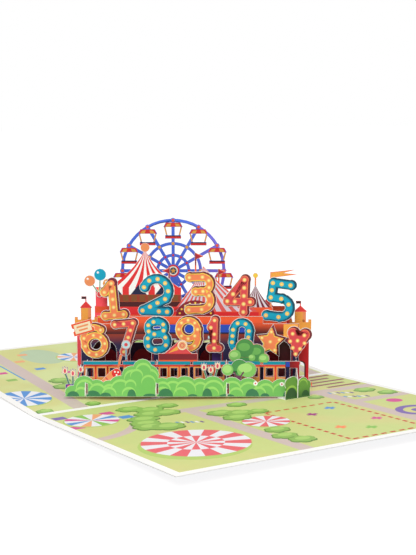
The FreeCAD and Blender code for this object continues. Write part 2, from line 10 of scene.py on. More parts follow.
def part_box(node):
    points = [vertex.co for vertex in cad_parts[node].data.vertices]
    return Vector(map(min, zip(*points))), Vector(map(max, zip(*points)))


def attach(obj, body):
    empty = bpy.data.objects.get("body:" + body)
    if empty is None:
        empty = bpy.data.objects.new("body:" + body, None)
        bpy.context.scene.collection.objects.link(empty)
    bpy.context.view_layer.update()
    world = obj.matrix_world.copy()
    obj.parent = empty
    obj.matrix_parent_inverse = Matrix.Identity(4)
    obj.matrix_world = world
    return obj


bl_info = {
    "name": "Pop-up funfair card",
    "version": (1, 0, 0),
    "blender": (4, 5, 0),
    "location": "View3D > Sidebar > Card",
    "description": "Prints and lights an opened pop-up funfair card",
    "category": "Object",
}

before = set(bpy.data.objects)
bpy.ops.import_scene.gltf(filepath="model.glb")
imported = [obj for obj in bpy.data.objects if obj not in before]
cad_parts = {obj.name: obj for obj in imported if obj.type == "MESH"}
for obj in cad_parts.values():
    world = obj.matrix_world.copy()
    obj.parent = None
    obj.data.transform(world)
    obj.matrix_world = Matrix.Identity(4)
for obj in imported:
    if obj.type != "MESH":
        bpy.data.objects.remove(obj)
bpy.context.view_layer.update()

MM = 0.001
CARD = 0.35
SLOT_BARE = 0.42
SLOT_PLACES = (-59.25, -19.75, 19.75, 59.25)
BAYS = [-49.375 + 19.75 * number for number in range(6)]
FOOT = 2.9
ROW_END = 60.75


def linear(red, green, blue):
    """A colour as it looks on paper, from 0 to 255, as the renderer counts it."""
    levels = []
    for level in (red, green, blue):
        level /= 255
        levels.append(level / 12.92 if level <= 0.04045 else ((level + 0.055) / 1.055) ** 2.4)
    return tuple(levels)


def colour(name, description, red, green, blue):
    return bpy.props.FloatVectorProperty(
        name=name, description=description, subtype="COLOR", size=3, min=0.0, max=1.0,
        default=linear(red, green, blue))


def layer_turn():
    """How far the layers stand turned from the fold, read off the wheel's largest face."""
    face = max(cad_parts["wheel"].data.polygons, key=lambda polygon: polygon.area)
    return atan2(abs(face.normal.x), abs(face.normal.y))


class CardSizes(bpy.types.PropertyGroup):
    """Sizes of the print and the stage."""

    rim: bpy.props.FloatProperty(
        name="Bare rim", description="Bare card left round each numeral",
        default=0.00024, min=0.0, unit="LENGTH")
    ink_rise: bpy.props.FloatProperty(
        name="Ink rise", description="Height of the first ink above the card",
        default=0.00002, min=0.000005, unit="LENGTH")
    ink_step: bpy.props.FloatProperty(
        name="Ink step", description="Height of each further ink above the one before",
        default=0.000004, min=0.000001, unit="LENGTH")
    margin: bpy.props.FloatProperty(
        name="Margin", description="Bare margin round the printed ground",
        default=0.00457, min=0.0, unit="LENGTH")
    fold_strip: bpy.props.FloatProperty(
        name="Fold strip", description="Half width of the bare strip along the fold",
        default=0.0022, min=0.0, unit="LENGTH")
    shade_right: bpy.props.FloatProperty(
        name="Shade to the right", description="Width of the printed side of a numeral",
        default=0.0012, min=0.0, unit="LENGTH")
    shade_up: bpy.props.FloatProperty(
        name="Shade at the top", description="Height of the printed top of a numeral",
        default=0.0005, min=0.0, unit="LENGTH")
    edging: bpy.props.FloatProperty(
        name="Edging", description="Width of the bright line round a numeral's face",
        default=0.00052, min=0.0, unit="LENGTH")
    bulb_pitch: bpy.props.FloatProperty(
        name="Bulb pitch", description="Distance between the printed bulbs of the upper numerals",
        default=0.0049, min=0.001, unit="LENGTH")
    lens: bpy.props.FloatProperty(
        name="Lens", description="Focal length of the camera on a 36 mm sensor",
        default=79.93, min=10.0)


class CardInks(bpy.types.PropertyGroup):
    """Colours of the card and its inks."""

    white_card: colour("White card", "Unprinted card", 246, 245, 242)
    outside_blue: colour("Outside blue", "Outside of the cover", 34, 52, 140)
    outside_orange: colour("Outside orange", "Border on the outside of the cover", 244, 150, 84)
    grass: colour("Grass", "Ground of the near half", 203, 215, 136)
    far_grass: colour("Far grass", "Ground of the far half", 214, 224, 156)
    dry_grass: colour("Dry grass", "Worn patches of the ground", 212, 211, 138)
    path: colour("Path", "Paths", 208, 190, 182)
    clump: colour("Clump", "Trees seen from above", 144, 188, 92)
    shade_green: colour("Shade on grass", "Shade beside the round tents", 182, 208, 112)
    clump_dark: colour("Clump shade", "Edge of the trees seen from above", 96, 138, 58)
    clump_light: colour("Clump light", "Light on the trees seen from above", 172, 210, 112)
    lot_red: colour("Lot red", "Dashes round the lot", 200, 60, 42)
    plum: colour("Plum", "Flower beds", 150, 84, 96)
    canopy_red: colour("Canopy red", "Stripes of the round tops", 232, 104, 112)
    canopy_white: colour("Canopy white", "Pale stripes of the round tops", 236, 236, 240)
    canopy_blue: colour("Canopy blue", "Blue stripes of the round tops", 84, 146, 214)
    canopy_orange: colour("Canopy orange", "Orange stripes of the round tops", 240, 170, 120)
    canopy_green: colour("Canopy green", "Green stripes of the round tops", 140, 196, 90)
    canopy_pink: colour("Canopy pink", "Pink stripes of the round tops", 214, 84, 150)
    stall_pink: colour("Stall pink", "One of the stalls", 162, 40, 132)
    pond: colour("Pond", "Pale water on the ground", 186, 206, 170)
    violet: colour("Violet", "Violet details", 128, 106, 176)
    hedge_green: colour("Hedge green", "Hedge", 122, 198, 102)
    hedge_light: colour("Hedge light", "Light on the hedge", 160, 222, 118)
    hedge_dark: colour("Hedge dark", "Hollows at the foot of the hedge", 62, 128, 88)
    olive_light: colour("Olive light", "Light on the corner bushes", 150, 196, 84)
    olive: colour("Olive", "Corner bush", 104, 154, 66)
    # Darker ink that the corner bushes fade into towards the bottom, and their dark patches at the foot.
    bush_dark: colour("Bush hollow", "Hollows of the corner bushes", 50, 90, 52)
    grove: colour("Grove", "Trees behind the train", 110, 178, 92)
    grove_dark: colour("Grove dark", "Shade on the trees behind the train", 78, 146, 78)
    leaf: colour("Leaf", "Tree leaves", 132, 200, 104)
    leaf_light: colour("Leaf light", "Light on tree leaves", 172, 224, 132)
    leaf_dark: colour("Leaf dark", "Shade on tree leaves", 78, 150, 84)
    trunk: colour("Trunk", "Trunks", 112, 62, 92)
    petal_cream: colour("Cream petal", "Pale flowers", 250, 232, 196)
    petal_pink: colour("Pink petal", "Pink flowers", 226, 82, 110)
    petal_purple: colour("Purple petal", "Purple flowers", 96, 58, 150)
    train_red: colour("Train red", "Train cars", 224, 62, 46)
    train_teal: colour("Train teal", "Train roofs", 0, 148, 172)
    train_amber: colour("Train amber", "Window frames", 240, 168, 84)
    dark: colour("Dark", "Darkest print", 52, 26, 34)
    # Also painted shade: the dark strips down the sides of the arches and the dark arches on the wheel's sheet seen
    # through them.
    maroon: colour("Maroon", "Dark red print", 132, 30, 44)
    flag_red: colour("Flag red", "Small pennants", 176, 34, 54)
    brown: colour("Brown", "Station and shadows", 150, 54, 34)
    band_red: colour("Band red", "Orange-red bands", 240, 92, 50)
    band_deep: colour("Deep band", "Orange-red bands in shade", 242, 90, 48)
    wall_red: colour("Wall red", "Right wall of the castle", 208, 26, 38)
    # Painted shade: the dark seen through the arcades, printed at the foot of the wheel's sheet and at the bottom of
    # the station.
    arcade_shade: colour("Night", "Dark wall behind the arcades", 34, 26, 66)
    brick: colour("Brick", "Brown bands", 128, 74, 36)
    band_blue: colour("Band blue", "Blue band of the station", 34, 74, 188)
    sky: colour("Sky", "Pale blue details", 188, 222, 232)
    tent_red: colour("Tent red", "Tent stripes", 228, 46, 50)
    tent_white: colour("Tent white", "Tent stripes", 255, 253, 252)
    tent_rose: colour("Tent rose", "Stripes of the wide tent", 228, 96, 92)
    tent_grey: colour("Tent grey", "Pale stripes of the wide tent", 226, 216, 228)
    navy: colour("Navy", "Dark blue print", 18, 22, 62)
    finial: colour("Finial", "Balls and poles", 242, 150, 96)
    yellow: colour("Yellow", "Yellow details", 248, 208, 76)
    castle_red: colour("Castle red", "Castle walls", 252, 80, 90)
    # Painted shade: the castle's right wall darkens into it towards the numerals, the bands between the rows darken
    # into it, and it covers the tents' wall behind the lower numerals. It also prints the castle window's frame and a
    # band below the big tent's brown band.
    castle_deep: colour("Castle shade", "Right side of the castle", 70, 12, 18)
    castle_amber: colour("Castle amber", "Castle towers", 246, 170, 74)
    castle_cap: colour("Castle caps", "Tower caps", 228, 58, 56)
    wheel_blue: colour("Wheel blue", "Wheel, left", 74, 110, 220)
    wheel_violet: colour("Wheel violet", "Wheel, right", 122, 112, 222)
    wheel_dot: colour("Wheel dots", "Dots on the rim", 234, 88, 62)
    cabin_red: colour("Cabin red", "Cabin roofs and floors", 212, 48, 50)
    cabin_amber: colour("Cabin amber", "Cabin posts", 222, 158, 66)
    hub_cream: colour("Hub cream", "Hub", 240, 236, 222)
    face_orange: colour("Orange face", "Numeral faces", 250, 138, 88)
    face_red: colour("Red face", "Numeral faces", 224, 74, 82)
    face_teal: colour("Teal face", "Numeral faces", 6, 168, 200)
    side_maroon: colour("Maroon side", "Printed side of warm numerals", 118, 38, 54)
    side_teal: colour("Teal side", "Printed side of teal numerals", 0, 72, 98)
    edge_yellow: colour("Yellow edging", "Line round orange faces", 252, 212, 84)
    edge_orange: colour("Orange edging", "Line round red faces", 240, 126, 84)
    edge_teal: colour("Teal edging", "Line round teal faces", 0, 138, 168)
    halo: colour("Halo", "Glow round the printed bulbs", 252, 186, 110)
    bulb: colour("Bulb", "Printed bulbs", 255, 240, 150)
    bulb_warm: colour("Warm bulb", "Printed bulbs on teal", 255, 206, 104)


def sizes():
    return bpy.context.scene.card_sizes


def pigment(name):
    return (*getattr(bpy.context.scene.card_inks, name), 1.0)


# Materials

def node_group(name, inputs, outputs):
    """An empty shader group with named sockets, each given as (name, type, default)."""
    group = bpy.data.node_groups.new(name, "ShaderNodeTree")
    for label, kind, default in inputs:
        socket = group.interface.new_socket(label, in_out="INPUT", socket_type=kind)
        socket.default_value = default
    for label, kind in outputs:
        group.interface.new_socket(label, in_out="OUTPUT", socket_type=kind)
    return group, group.nodes.new("NodeGroupInput"), group.nodes.new("NodeGroupOutput")


def paper_grain():
    """Mottles a colour as printed paper does and gives the height of its fibres."""
    found = bpy.data.node_groups.get("paper_grain")
    if found:
        return found
    group, given, out = node_group(
        "paper_grain",
        [("Colour", "NodeSocketColor", (1, 1, 1, 1)), ("Mottle", "NodeSocketFloat", 0.05)],
        [("Colour", "NodeSocketColor"), ("Height", "NodeSocketFloat")])
    place = group.nodes.new("ShaderNodeTexCoord")
    fibre = group.nodes.new("ShaderNodeTexNoise")
    fibre.inputs["Scale"].default_value = 2600.0
    fibre.inputs["Detail"].default_value = 3.0
    cloud = group.nodes.new("ShaderNodeTexNoise")
    cloud.inputs["Scale"].default_value = 160.0
    cloud.inputs["Detail"].default_value = 4.0
    blend = group.nodes.new("ShaderNodeMath")
    blend.operation = "MULTIPLY_ADD"
    blend.inputs[1].default_value = 0.4
    level = group.nodes.new("ShaderNodeMapRange")
    level.inputs["From Min"].default_value = 0.45
    level.inputs["From Max"].default_value = 0.95
    dim = group.nodes.new("ShaderNodeMath")
    dim.operation = "MULTIPLY"
    darker = group.nodes.new("ShaderNodeMix")
    darker.data_type = "RGBA"
    darker.blend_type = "MULTIPLY"
    darker.inputs["B"].default_value = (0.55, 0.53, 0.5, 1.0)
    link = group.links.new
    link(place.outputs["Object"], fibre.inputs["Vector"])
    link(place.outputs["Object"], cloud.inputs["Vector"])
    link(fibre.outputs["Fac"], blend.inputs[0])
    link(cloud.outputs["Fac"], blend.inputs[2])
    link(blend.outputs[0], level.inputs["Value"])
    link(level.outputs["Result"], dim.inputs[0])
    link(given.outputs["Mottle"], dim.inputs[1])
    link(dim.outputs[0], darker.inputs["Factor"])
    link(given.outputs["Colour"], darker.inputs["A"])
    link(darker.outputs["Result"], out.inputs["Colour"])
    link(fibre.outputs["Fac"], out.inputs["Height"])
    return group


def layer_map():
    """Places on a layer, in millimetres: along it and up."""
    found = bpy.data.node_groups.get("layer_map")
    if found:
        return found
    group, given, out = node_group(
        "layer_map", [], [("Along", "NodeSocketFloat"), ("Up", "NodeSocketFloat")])
    place = group.nodes.new("ShaderNodeTexCoord")
    turned = group.nodes.new("ShaderNodeMapping")
    turned.inputs["Rotation"].default_value[2] = layer_turn()
    turned.inputs["Scale"].default_value = (1 / MM, 1 / MM, 1 / MM)
    parts = group.nodes.new("ShaderNodeSeparateXYZ")
    group.links.new(place.outputs["Object"], turned.inputs["Vector"])
    group.links.new(turned.outputs["Vector"], parts.inputs["Vector"])
    group.links.new(parts.outputs["X"], out.inputs["Along"])
    group.links.new(parts.outputs["Z"], out.inputs["Up"])
    return group


# ink: (second ink, direction, where the first ends, where the second begins)
BLENDED = {
    "wheel_blue": ("wheel_violet", "Along", -8.0, 18.0),
    # Painted shade: the castle's right wall darkens towards the numerals.
    "wall_red": ("castle_deep", "Along", 67.0, 50.0),
    # Painted shade: the orange-red bands darken towards the bottom, between the rows of numerals.
    "band_deep": ("castle_deep", "Up", 44.0, 36.0),
    # Painted shade: the station's brown darkens towards the bottom, behind the lower numerals.
    "brown": ("arcade_shade", "Up", 37.0, 29.0),
    # The corner bushes grow darker towards the bottom.
    "olive": ("bush_dark", "Up", 10.0, 0.0),
}

# A printed bulb's ink: the face round it, its glow, its own colour, and where that starts and ends.
BULBS = {
    "bulb_orange": ("face_orange", "halo", "bulb", 0.38, 0.72),
    "bulb_red": ("face_red", "halo", "bulb", 0.38, 0.72),
    "bulb_teal": ("face_teal", "face_teal", "bulb_warm", 0.16, 0.34),
}


def ranged(tree, value, start, end):
    spread = tree.nodes.new("ShaderNodeMapRange")
    spread.interpolation_type = "SMOOTHSTEP"
    spread.inputs["From Min"].default_value = min(start, end)
    spread.inputs["From Max"].default_value = max(start, end)
    spread.inputs["To Min"].default_value = 0.0 if start < end else 1.0
    spread.inputs["To Max"].default_value = 1.0 if start < end else 0.0
    tree.links.new(value, spread.inputs["Value"])
    return spread.outputs["Result"]


def mixed(tree, factor, first, second):
    """A mix of two colours, each a pigment or the output of a node."""
    mix = tree.nodes.new("ShaderNodeMix")
    mix.data_type = "RGBA"
    tree.links.new(factor, mix.inputs["Factor"])
    for socket, source in ((mix.inputs["A"], first), (mix.inputs["B"], second)):
        if isinstance(source, tuple):
            socket.default_value = source
        else:
            tree.links.new(source, socket)
    return mix.outputs["Result"]


def paper(name, roughness=0.5, mottle=0.06):
    """A new paper material, its shader and the group that takes its colour."""
    material = bpy.data.materials.new(name)
    material.use_nodes = True
    tree = material.node_tree
    shader = tree.nodes["Principled BSDF"]
    shader.inputs["Roughness"].default_value = roughness
    shader.inputs["Specular IOR Level"].default_value = 0.35
    grain = tree.nodes.new("ShaderNodeGroup")
    grain.node_tree = paper_grain()
    grain.inputs["Mottle"].default_value = mottle
    bump = tree.nodes.new("ShaderNodeBump")
    bump.inputs["Strength"].default_value = 0.25
    bump.inputs["Distance"].default_value = 0.00002
    tree.links.new(grain.outputs["Colour"], shader.inputs["Base Color"])
    tree.links.new(grain.outputs["Height"], bump.inputs["Height"])
    tree.links.new(bump.outputs["Normal"], shader.inputs["Normal"])
    return material, tree, grain


def ink(name):
    """The printed paper of one named ink."""
    found = bpy.data.materials.get(name)
    if found:
        return found
    material, tree, grain = paper(name)
    if name in BULBS:
        rim, halo, core, start, end = BULBS[name]
        glow = tree.nodes.new("ShaderNodeAttribute")
        glow.attribute_name = "glow"
        around = mixed(tree, ranged(tree, glow.outputs["Fac"], 0.0, 0.5), pigment(rim), pigment(halo))
        lit = mixed(tree, ranged(tree, glow.outputs["Fac"], start, end), around, pigment(core))
        middle = ranged(tree, glow.outputs["Fac"], 0.5, 0.9)
        tree.links.new(mixed(tree, middle, lit, pigment("bulb")), grain.inputs["Colour"])
    elif name in BLENDED:
        second, direction, start, end = BLENDED[name]
        place = tree.nodes.new("ShaderNodeGroup")
        place.node_tree = layer_map()
        across = ranged(tree, place.outputs[direction], start, end)
        tree.links.new(mixed(tree, across, pigment(name), pigment(second)), grain.inputs["Colour"])
    elif name in ("grass", "far_grass"):
        place = tree.nodes.new("ShaderNodeTexCoord")
        patches = tree.nodes.new("ShaderNodeTexNoise")
        patches.inputs["Scale"].default_value = 22.0
        patches.inputs["Detail"].default_value = 2.0
        tree.links.new(place.outputs["Object"], patches.inputs["Vector"])
        worn = ranged(tree, patches.outputs["Fac"], 0.42, 0.62)
        tree.links.new(mixed(tree, worn, pigment(name), pigment("dry_grass")), grain.inputs["Colour"])
    else:
        grain.inputs["Colour"].default_value = pigment(name)
    return material


# Drawing flat shapes and pressing them through a plate

def upright():
    """From millimetres along a layer, back from the lattice's middle and up, to the card's own frame."""
    return Matrix.Rotation(-layer_turn(), 4, "Z") @ Matrix.Scale(MM, 4)


def square():
    """From millimetres along the fold, across it and up, to the card's own frame."""
    return Matrix.Scale(MM, 4)


def front_faces(node, place, facing=-1):
    """The front of a plate as flat faces, in millimetres along the layer."""
    bm = bmesh.new()
    bm.from_mesh(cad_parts[node].data)
    bm.transform(place.inverted())
    bmesh.ops.remove_doubles(bm, verts=bm.verts, dist=0.002)
    bm.normal_update()
    other = [face for face in bm.faces if face.normal.y * facing < 0.99]
    bmesh.ops.delete(bm, geom=other, context="FACES")
    bmesh.ops.dissolve_limit(bm, angle_limit=0.02, verts=bm.verts, edges=bm.edges)
    return bm


def narrowed(bm, by, even=True):
    """Takes a strip off the border of flat faces, thinner at its corners where it isn't even."""
    bm.normal_update()
    rim = bmesh.ops.inset_region(bm, faces=bm.faces, thickness=by, use_boundary=True,
                                 use_even_offset=even)
    bmesh.ops.delete(bm, geom=rim["faces"], context="FACES")
    return bm


def pressed(bm, mirror_y):
    """Thickens flat faces into closed shapes that reach as far behind a middle plane as in front."""
    made = bmesh.ops.extrude_face_region(bm, geom=bm.faces[:], use_keep_orig=True)
    for item in made["geom"]:
        if isinstance(item, bmesh.types.BMVert):
            item.co.y = 2 * mirror_y - item.co.y
    bmesh.ops.recalc_face_normals(bm, faces=bm.faces)


def one_outline(flat, inside):
    """One flat outline from flat shapes that overlap. The place is somewhere inside them."""
    pressed(flat, 0.5)
    speck = bmesh.new()
    bmesh.ops.create_cube(speck, size=0.2, matrix=Matrix.Translation((inside[0], 0.5, inside[1])))
    solids = []
    for bm in (flat, speck):
        mesh = bpy.data.meshes.new("joining")
        bm.to_mesh(mesh)
        bm.free()
        solids.append(bpy.data.objects.new("joining", mesh))
        bpy.context.scene.collection.objects.link(solids[-1])
    join = solids[0].modifiers.new("join", "BOOLEAN")
    join.operation = "UNION"
    join.solver = "EXACT"
    join.use_self = True
    join.object = solids[1]
    whole = bmesh.new()
    whole.from_object(solids[0], bpy.context.evaluated_depsgraph_get())
    for solid in solids:
        bpy.data.meshes.remove(solid.data)
    bmesh.ops.remove_doubles(whole, verts=whole.verts, dist=0.002)
    whole.normal_update()
    other = [face for face in whole.faces if face.normal.y > -0.99]
    bmesh.ops.delete(whole, geom=other, context="FACES")
    bmesh.ops.dissolve_limit(whole, angle_limit=0.02, verts=whole.verts, edges=whole.edges)
    return whole


def flat_bar(bm, start, end, width):
    run = hypot(end[0] - start[0], end[1] - start[1])
    side = (width / 2 * (start[1] - end[1]) / run, width / 2 * (end[0] - start[0]) / run)
    corners = [(start[0] + side[0], start[1] + side[1]), (start[0] - side[0], start[1] - side[1]),
               (end[0] - side[0], end[1] - side[1]), (end[0] + side[0], end[1] + side[1])]
    return bm.faces.new([bm.verts.new((x, 0, up)) for x, up in corners])


def flat_disc(bm, x, up, radius, sides=16):
    place = Matrix.Translation((x, 0, up)) @ Matrix.Rotation(pi / 2, 4, "X")
    return bmesh.ops.create_circle(bm, cap_ends=True, segments=sides, radius=radius, matrix=place)["verts"]


def flat_arc(bm, x, up, radius, width, first, last):
    """A band along an arc, from one angle to another."""
    start = radians(first)
    ends = [bm.verts.new((x + reach * cos(start), 0, up + reach * sin(start)))
            for reach in (radius - width / 2, radius + width / 2)]
    whole = abs(last - first) == 360
    bmesh.ops.spin(bm, geom=ends + [bm.edges.new(ends)], cent=(x, 0, up), axis=(0, -1, 0),
                   angle=radians(last - first), steps=ceil(abs(last - first) / 20), use_merge=whole)


def sign_outline(sign, w, h, stroke, thinner):
    """A sign's strokes, made thinner all round, as one flat outline from its lower left corner."""
    bm = bmesh.new()
    half = stroke / 2
    if sign == "star":
        points = []
        for number in range(10):
            reach = 1.0 if number % 2 == 0 else 0.52
            angle = pi / 2 + number * pi / 5
            points.append((w / 2 * (1 + reach * cos(angle)), 0.46 * h + reach * 0.54 * h * sin(angle)))
        bm.faces.new([bm.verts.new((x, 0, up)) for x, up in points])
        return narrowed(bm, thinner)
    if sign == "heart":
        bump = 0.27 * w
        for x in (bump, w - bump):
            flat_disc(bm, x, h - bump, bump - thinner)
        side = 0.05 * w + thinner
        corners = [(side, h - 1.5 * bump), (w / 2, 1.6 * thinner), (w - side, h - 1.5 * bump),
                   (w / 2, h - bump)]
        bm.faces.new([bm.verts.new((x, 0, up)) for x, up in corners])
        return one_outline(bm, (bump, h - bump))
    places = []
    for kind, *line in strokes(sign, w - stroke, h - stroke):
        if kind == "line":
            ends = [(line[0] + half, line[1] + half), (line[2] + half, line[3] + half)]
            flat_bar(bm, *ends, stroke - 2 * thinner)
        else:
            x, up, radius, first, last = line
            flat_arc(bm, x + half, up + half, radius, stroke - 2 * thinner, first, last)
            ends = [(x + half + radius * cos(radians(turn)), up + half + radius * sin(radians(turn)))
                    for turn in (first, last)]
            if abs(last - first) == 360:
                continue
        for place in ends:
            if all(hypot(place[0] - other[0], place[1] - other[1]) > 0.01 for other in places):
                flat_disc(bm, place[0], place[1], 0.55 * stroke - thinner)
                places.append(place)
    return one_outline(bm, places[0])


class Plate:
    """The inks of one plate. Each is drawn flat, over those before it, and then pressed through
    the card, so that both of its sides are printed and its cut edges stay bare."""

    def __init__(self, node, coat, place=None, facing=-1, slot_top=0.0, rim=0.13):
        self.node = node
        self.place = place or upright()
        self.facing = facing
        self.slot_top = slot_top
        self.inks = []
        self.over = 0
        self.bm = bmesh.new()
        self.glow = self.bm.verts.layers.float.new("glow")
        outline = front_faces(node, self.place, facing)
        heights = [vert.co.y * facing for vert in outline.verts]
        self.front = facing * max(heights)
        self.region(coat, narrowed(outline, rim, even=False))

    def index(self, name):
        if name not in self.inks:
            self.inks.append(name)
        return self.inks.index(name)

    def settle(self, name, faces):
        """Gives faces their ink and the height of the present run over the card."""
        reach = (sizes().ink_rise + self.over * sizes().ink_step) / MM
        for face in faces:
            face.material_index = self.index(name)
            for vert in face.verts:
                vert.co.y = self.front + self.facing * reach
        return faces

    def region(self, name, flat):
        """Prints ready flat faces."""
        before = len(self.bm.faces)
        mesh = bpy.data.meshes.new("flat")
        flat.to_mesh(mesh)
        flat.free()
        self.bm.from_mesh(mesh)
        bpy.data.meshes.remove(mesh)
        self.bm.faces.ensure_lookup_table()
        self.settle(name, self.bm.faces[before:])

    def tinted(self, name, left, right, low, high):
        """Prints the plate inside a box, all round its openings."""
        flat = narrowed(front_faces(self.node, self.place, self.facing), 0.13, even=False)
        for at, away in (((left, 0), (-1, 0)), ((right, 0), (1, 0)), ((0, low), (0, -1)), ((0, high), (0, 1))):
            bmesh.ops.bisect_plane(flat, geom=flat.verts[:] + flat.edges[:] + flat.faces[:],
                                   plane_co=(at[0], 0, at[1]), plane_no=(away[0], 0, away[1]),
                                   clear_outer=True)
        self.region(name, flat)

    def trimmed(self, faces, at, away):
        """Cuts off what lies beyond a line."""
        geom = set(faces)
        for face in faces:
            geom.update(face.edges)
            geom.update(face.verts)
        made = bmesh.ops.bisect_plane(self.bm, geom=list(geom), plane_co=(at[0], 0, at[1]),
                                      plane_no=(away[0], 0, away[1]), clear_outer=True)
        return [item for item in made["geom"] if isinstance(item, bmesh.types.BMFace)]

    def shape(self, name, points):
        verts = [self.bm.verts.new((x, 0, up)) for x, up in points]
        return self.settle(name, [self.bm.faces.new(verts)])

    def block(self, name, left, right, low, high):
        return self.shape(name, [(left, low), (right, low), (right, high), (left, high)])

    def disc(self, name, x, up, radius, sides=20, low=None, tall=1.0):
        """A disc, cut off below a height where one is given."""
        place = Matrix.Translation((x, 0, up)) @ Matrix.Diagonal((1, 1, tall, 1)) @ Matrix.Rotation(pi / 2, 4, "X")
        made = bmesh.ops.create_circle(self.bm, cap_ends=True, segments=sides, radius=radius, matrix=place)
        faces = made["verts"][0].link_faces[:]
        if low is not None and low > up - radius * tall:
            faces = self.trimmed(faces, (x, low), (0, -1))
        return self.settle(name, faces)

    def ring(self, name, x, up, radius, width, sides=32):
        """A ring, given by its middle line."""
        place = Matrix.Translation((x, 0, up)) @ Matrix.Rotation(pi / 2, 4, "X")
        made = bmesh.ops.create_circle(self.bm, cap_ends=True, segments=sides,
                                       radius=radius + width / 2, matrix=place)
        inner = made["verts"][0].link_faces[:]
        rim = bmesh.ops.inset_region(self.bm, faces=inner, thickness=width, use_boundary=True,
                                     use_even_offset=True)
        bmesh.ops.delete(self.bm, geom=inner, context="FACES")
        return self.settle(name, rim["faces"])

    def bar(self, name, start, end, width):
        run = hypot(end[0] - start[0], end[1] - start[1])
        side = (width / 2 * (start[1] - end[1]) / run, width / 2 * (end[0] - start[0]) / run)
        return self.shape(name, [
            (start[0] + side[0], start[1] + side[1]), (start[0] - side[0], start[1] - side[1]),
            (end[0] - side[0], end[1] - side[1]), (end[0] + side[0], end[1] + side[1])])

    def surround(self, name, left, right, low, high, width):
        """Four bars round a window."""
        self.block(name, left - width, right + width, high, high + width)
        self.block(name, left - width, right + width, low - width, low)
        self.block(name, left - width, left, low, high)
        self.block(name, right, right + width, low, high)

    def bulb(self, name, x, up, radius):
        place = Matrix.Translation((x, 0, up)) @ Matrix.Rotation(pi / 2, 4, "X")
        made = bmesh.ops.create_circle(self.bm, cap_ends=True, cap_tris=True, segments=10,
                                       radius=radius, matrix=place)
        centre = max(made["verts"], key=lambda vert: len(vert.link_edges))
        centre[self.glow] = 1.0
        return self.settle(name, centre.link_faces[:])

    def striped_roof(self, names, apex, left, right, eave, sag, gores, share=0.955):
        """Gores of a tent roof whose sides sag between its apex and its eave."""
        rows = 8
        made = bmesh.ops.create_grid(self.bm, x_segments=gores, y_segments=rows, size=1.0)
        faces = {face for vert in made["verts"] for face in vert.link_faces}
        for face in faces:
            column = int((face.calc_center_median().x + 1) / 2 * gores)
            face.material_index = self.index(names[column % len(names)])
        reach = (sizes().ink_rise + self.over * sizes().ink_step) / MM
        low = eave + 0.3
        for vert in made["verts"]:
            across = vert.co.x * share
            down = 0.04 + 0.96 * (1 - vert.co.y) / 2
            foot = (left if across < 0 else right) - apex[0]
            swell = down - 4 * sag * down * (1 - down)
            vert.co = (apex[0] + abs(across) * foot * max(swell, 0.012),
                       self.front + self.facing * reach,
                       apex[1] - (apex[1] - low) * down)
        return faces

    def crescent(self, light, plain, x, up, radius, low=None, width=0.9, lowered=0.5):
        """A round clump with a line of light along its upper edge."""
        self.disc(light, x, up, radius, low=low)
        self.over += 1
        self.disc(plain, x, up - lowered, radius - width, low=low)
        self.over -= 1

    def opened(self, left, right, low, high):
        """Cuts every ink away inside a box."""
        for at, away in (((left, 0), (1, 0)), ((right, 0), (1, 0)), ((0, low), (0, 1)), ((0, high), (0, 1))):
            near = {face for face in self.bm.faces
                    if min(v.co.x for v in face.verts) < right + 1 and max(v.co.x for v in face.verts) > left - 1}
            geom = set(near)
            for face in near:
                geom.update(face.edges)
                geom.update(face.verts)
            bmesh.ops.bisect_plane(self.bm, geom=list(geom), plane_co=(at[0], 0, at[1]),
                                   plane_no=(away[0], 0, away[1]))
        inside = [face for face in self.bm.faces
                  if left < face.calc_center_median().x < right and low < face.calc_center_median().z < high]
        bmesh.ops.delete(self.bm, geom=inside, context="FACES")

    def finish(self):
        """Keeps the inks off the slots, presses them and stands them in place."""
        if self.slot_top:
            for x in SLOT_PLACES:
                self.opened(x - SLOT_BARE, x + SLOT_BARE, 0, self.slot_top)
        loose = [vert for vert in self.bm.verts if not vert.link_faces]
        bmesh.ops.delete(self.bm, geom=loose, context="VERTS")
        pressed(self.bm, self.front - self.facing * CARD / 2)
        return place_piece(self.bm, self.place, self.node + "_print", self.inks)


def place_piece(bm, place, name, inks):
    bm.transform(place)
    mesh = bpy.data.meshes.new(name)
    bm.to_mesh(mesh)
    bm.free()
    for label in inks:
        mesh.materials.append(ink(label))
    piece = bpy.data.objects.new(name, mesh)
    bpy.context.scene.collection.objects.link(piece)
    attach(piece, "root")
    return piece


# Operators, one for each group of pieces

class CardOperator(bpy.types.Operator):
    """One step of making the card."""

    bl_options = {"REGISTER", "UNDO"}

    def execute(self, context):
        self.make()
        return {"FINISHED"}


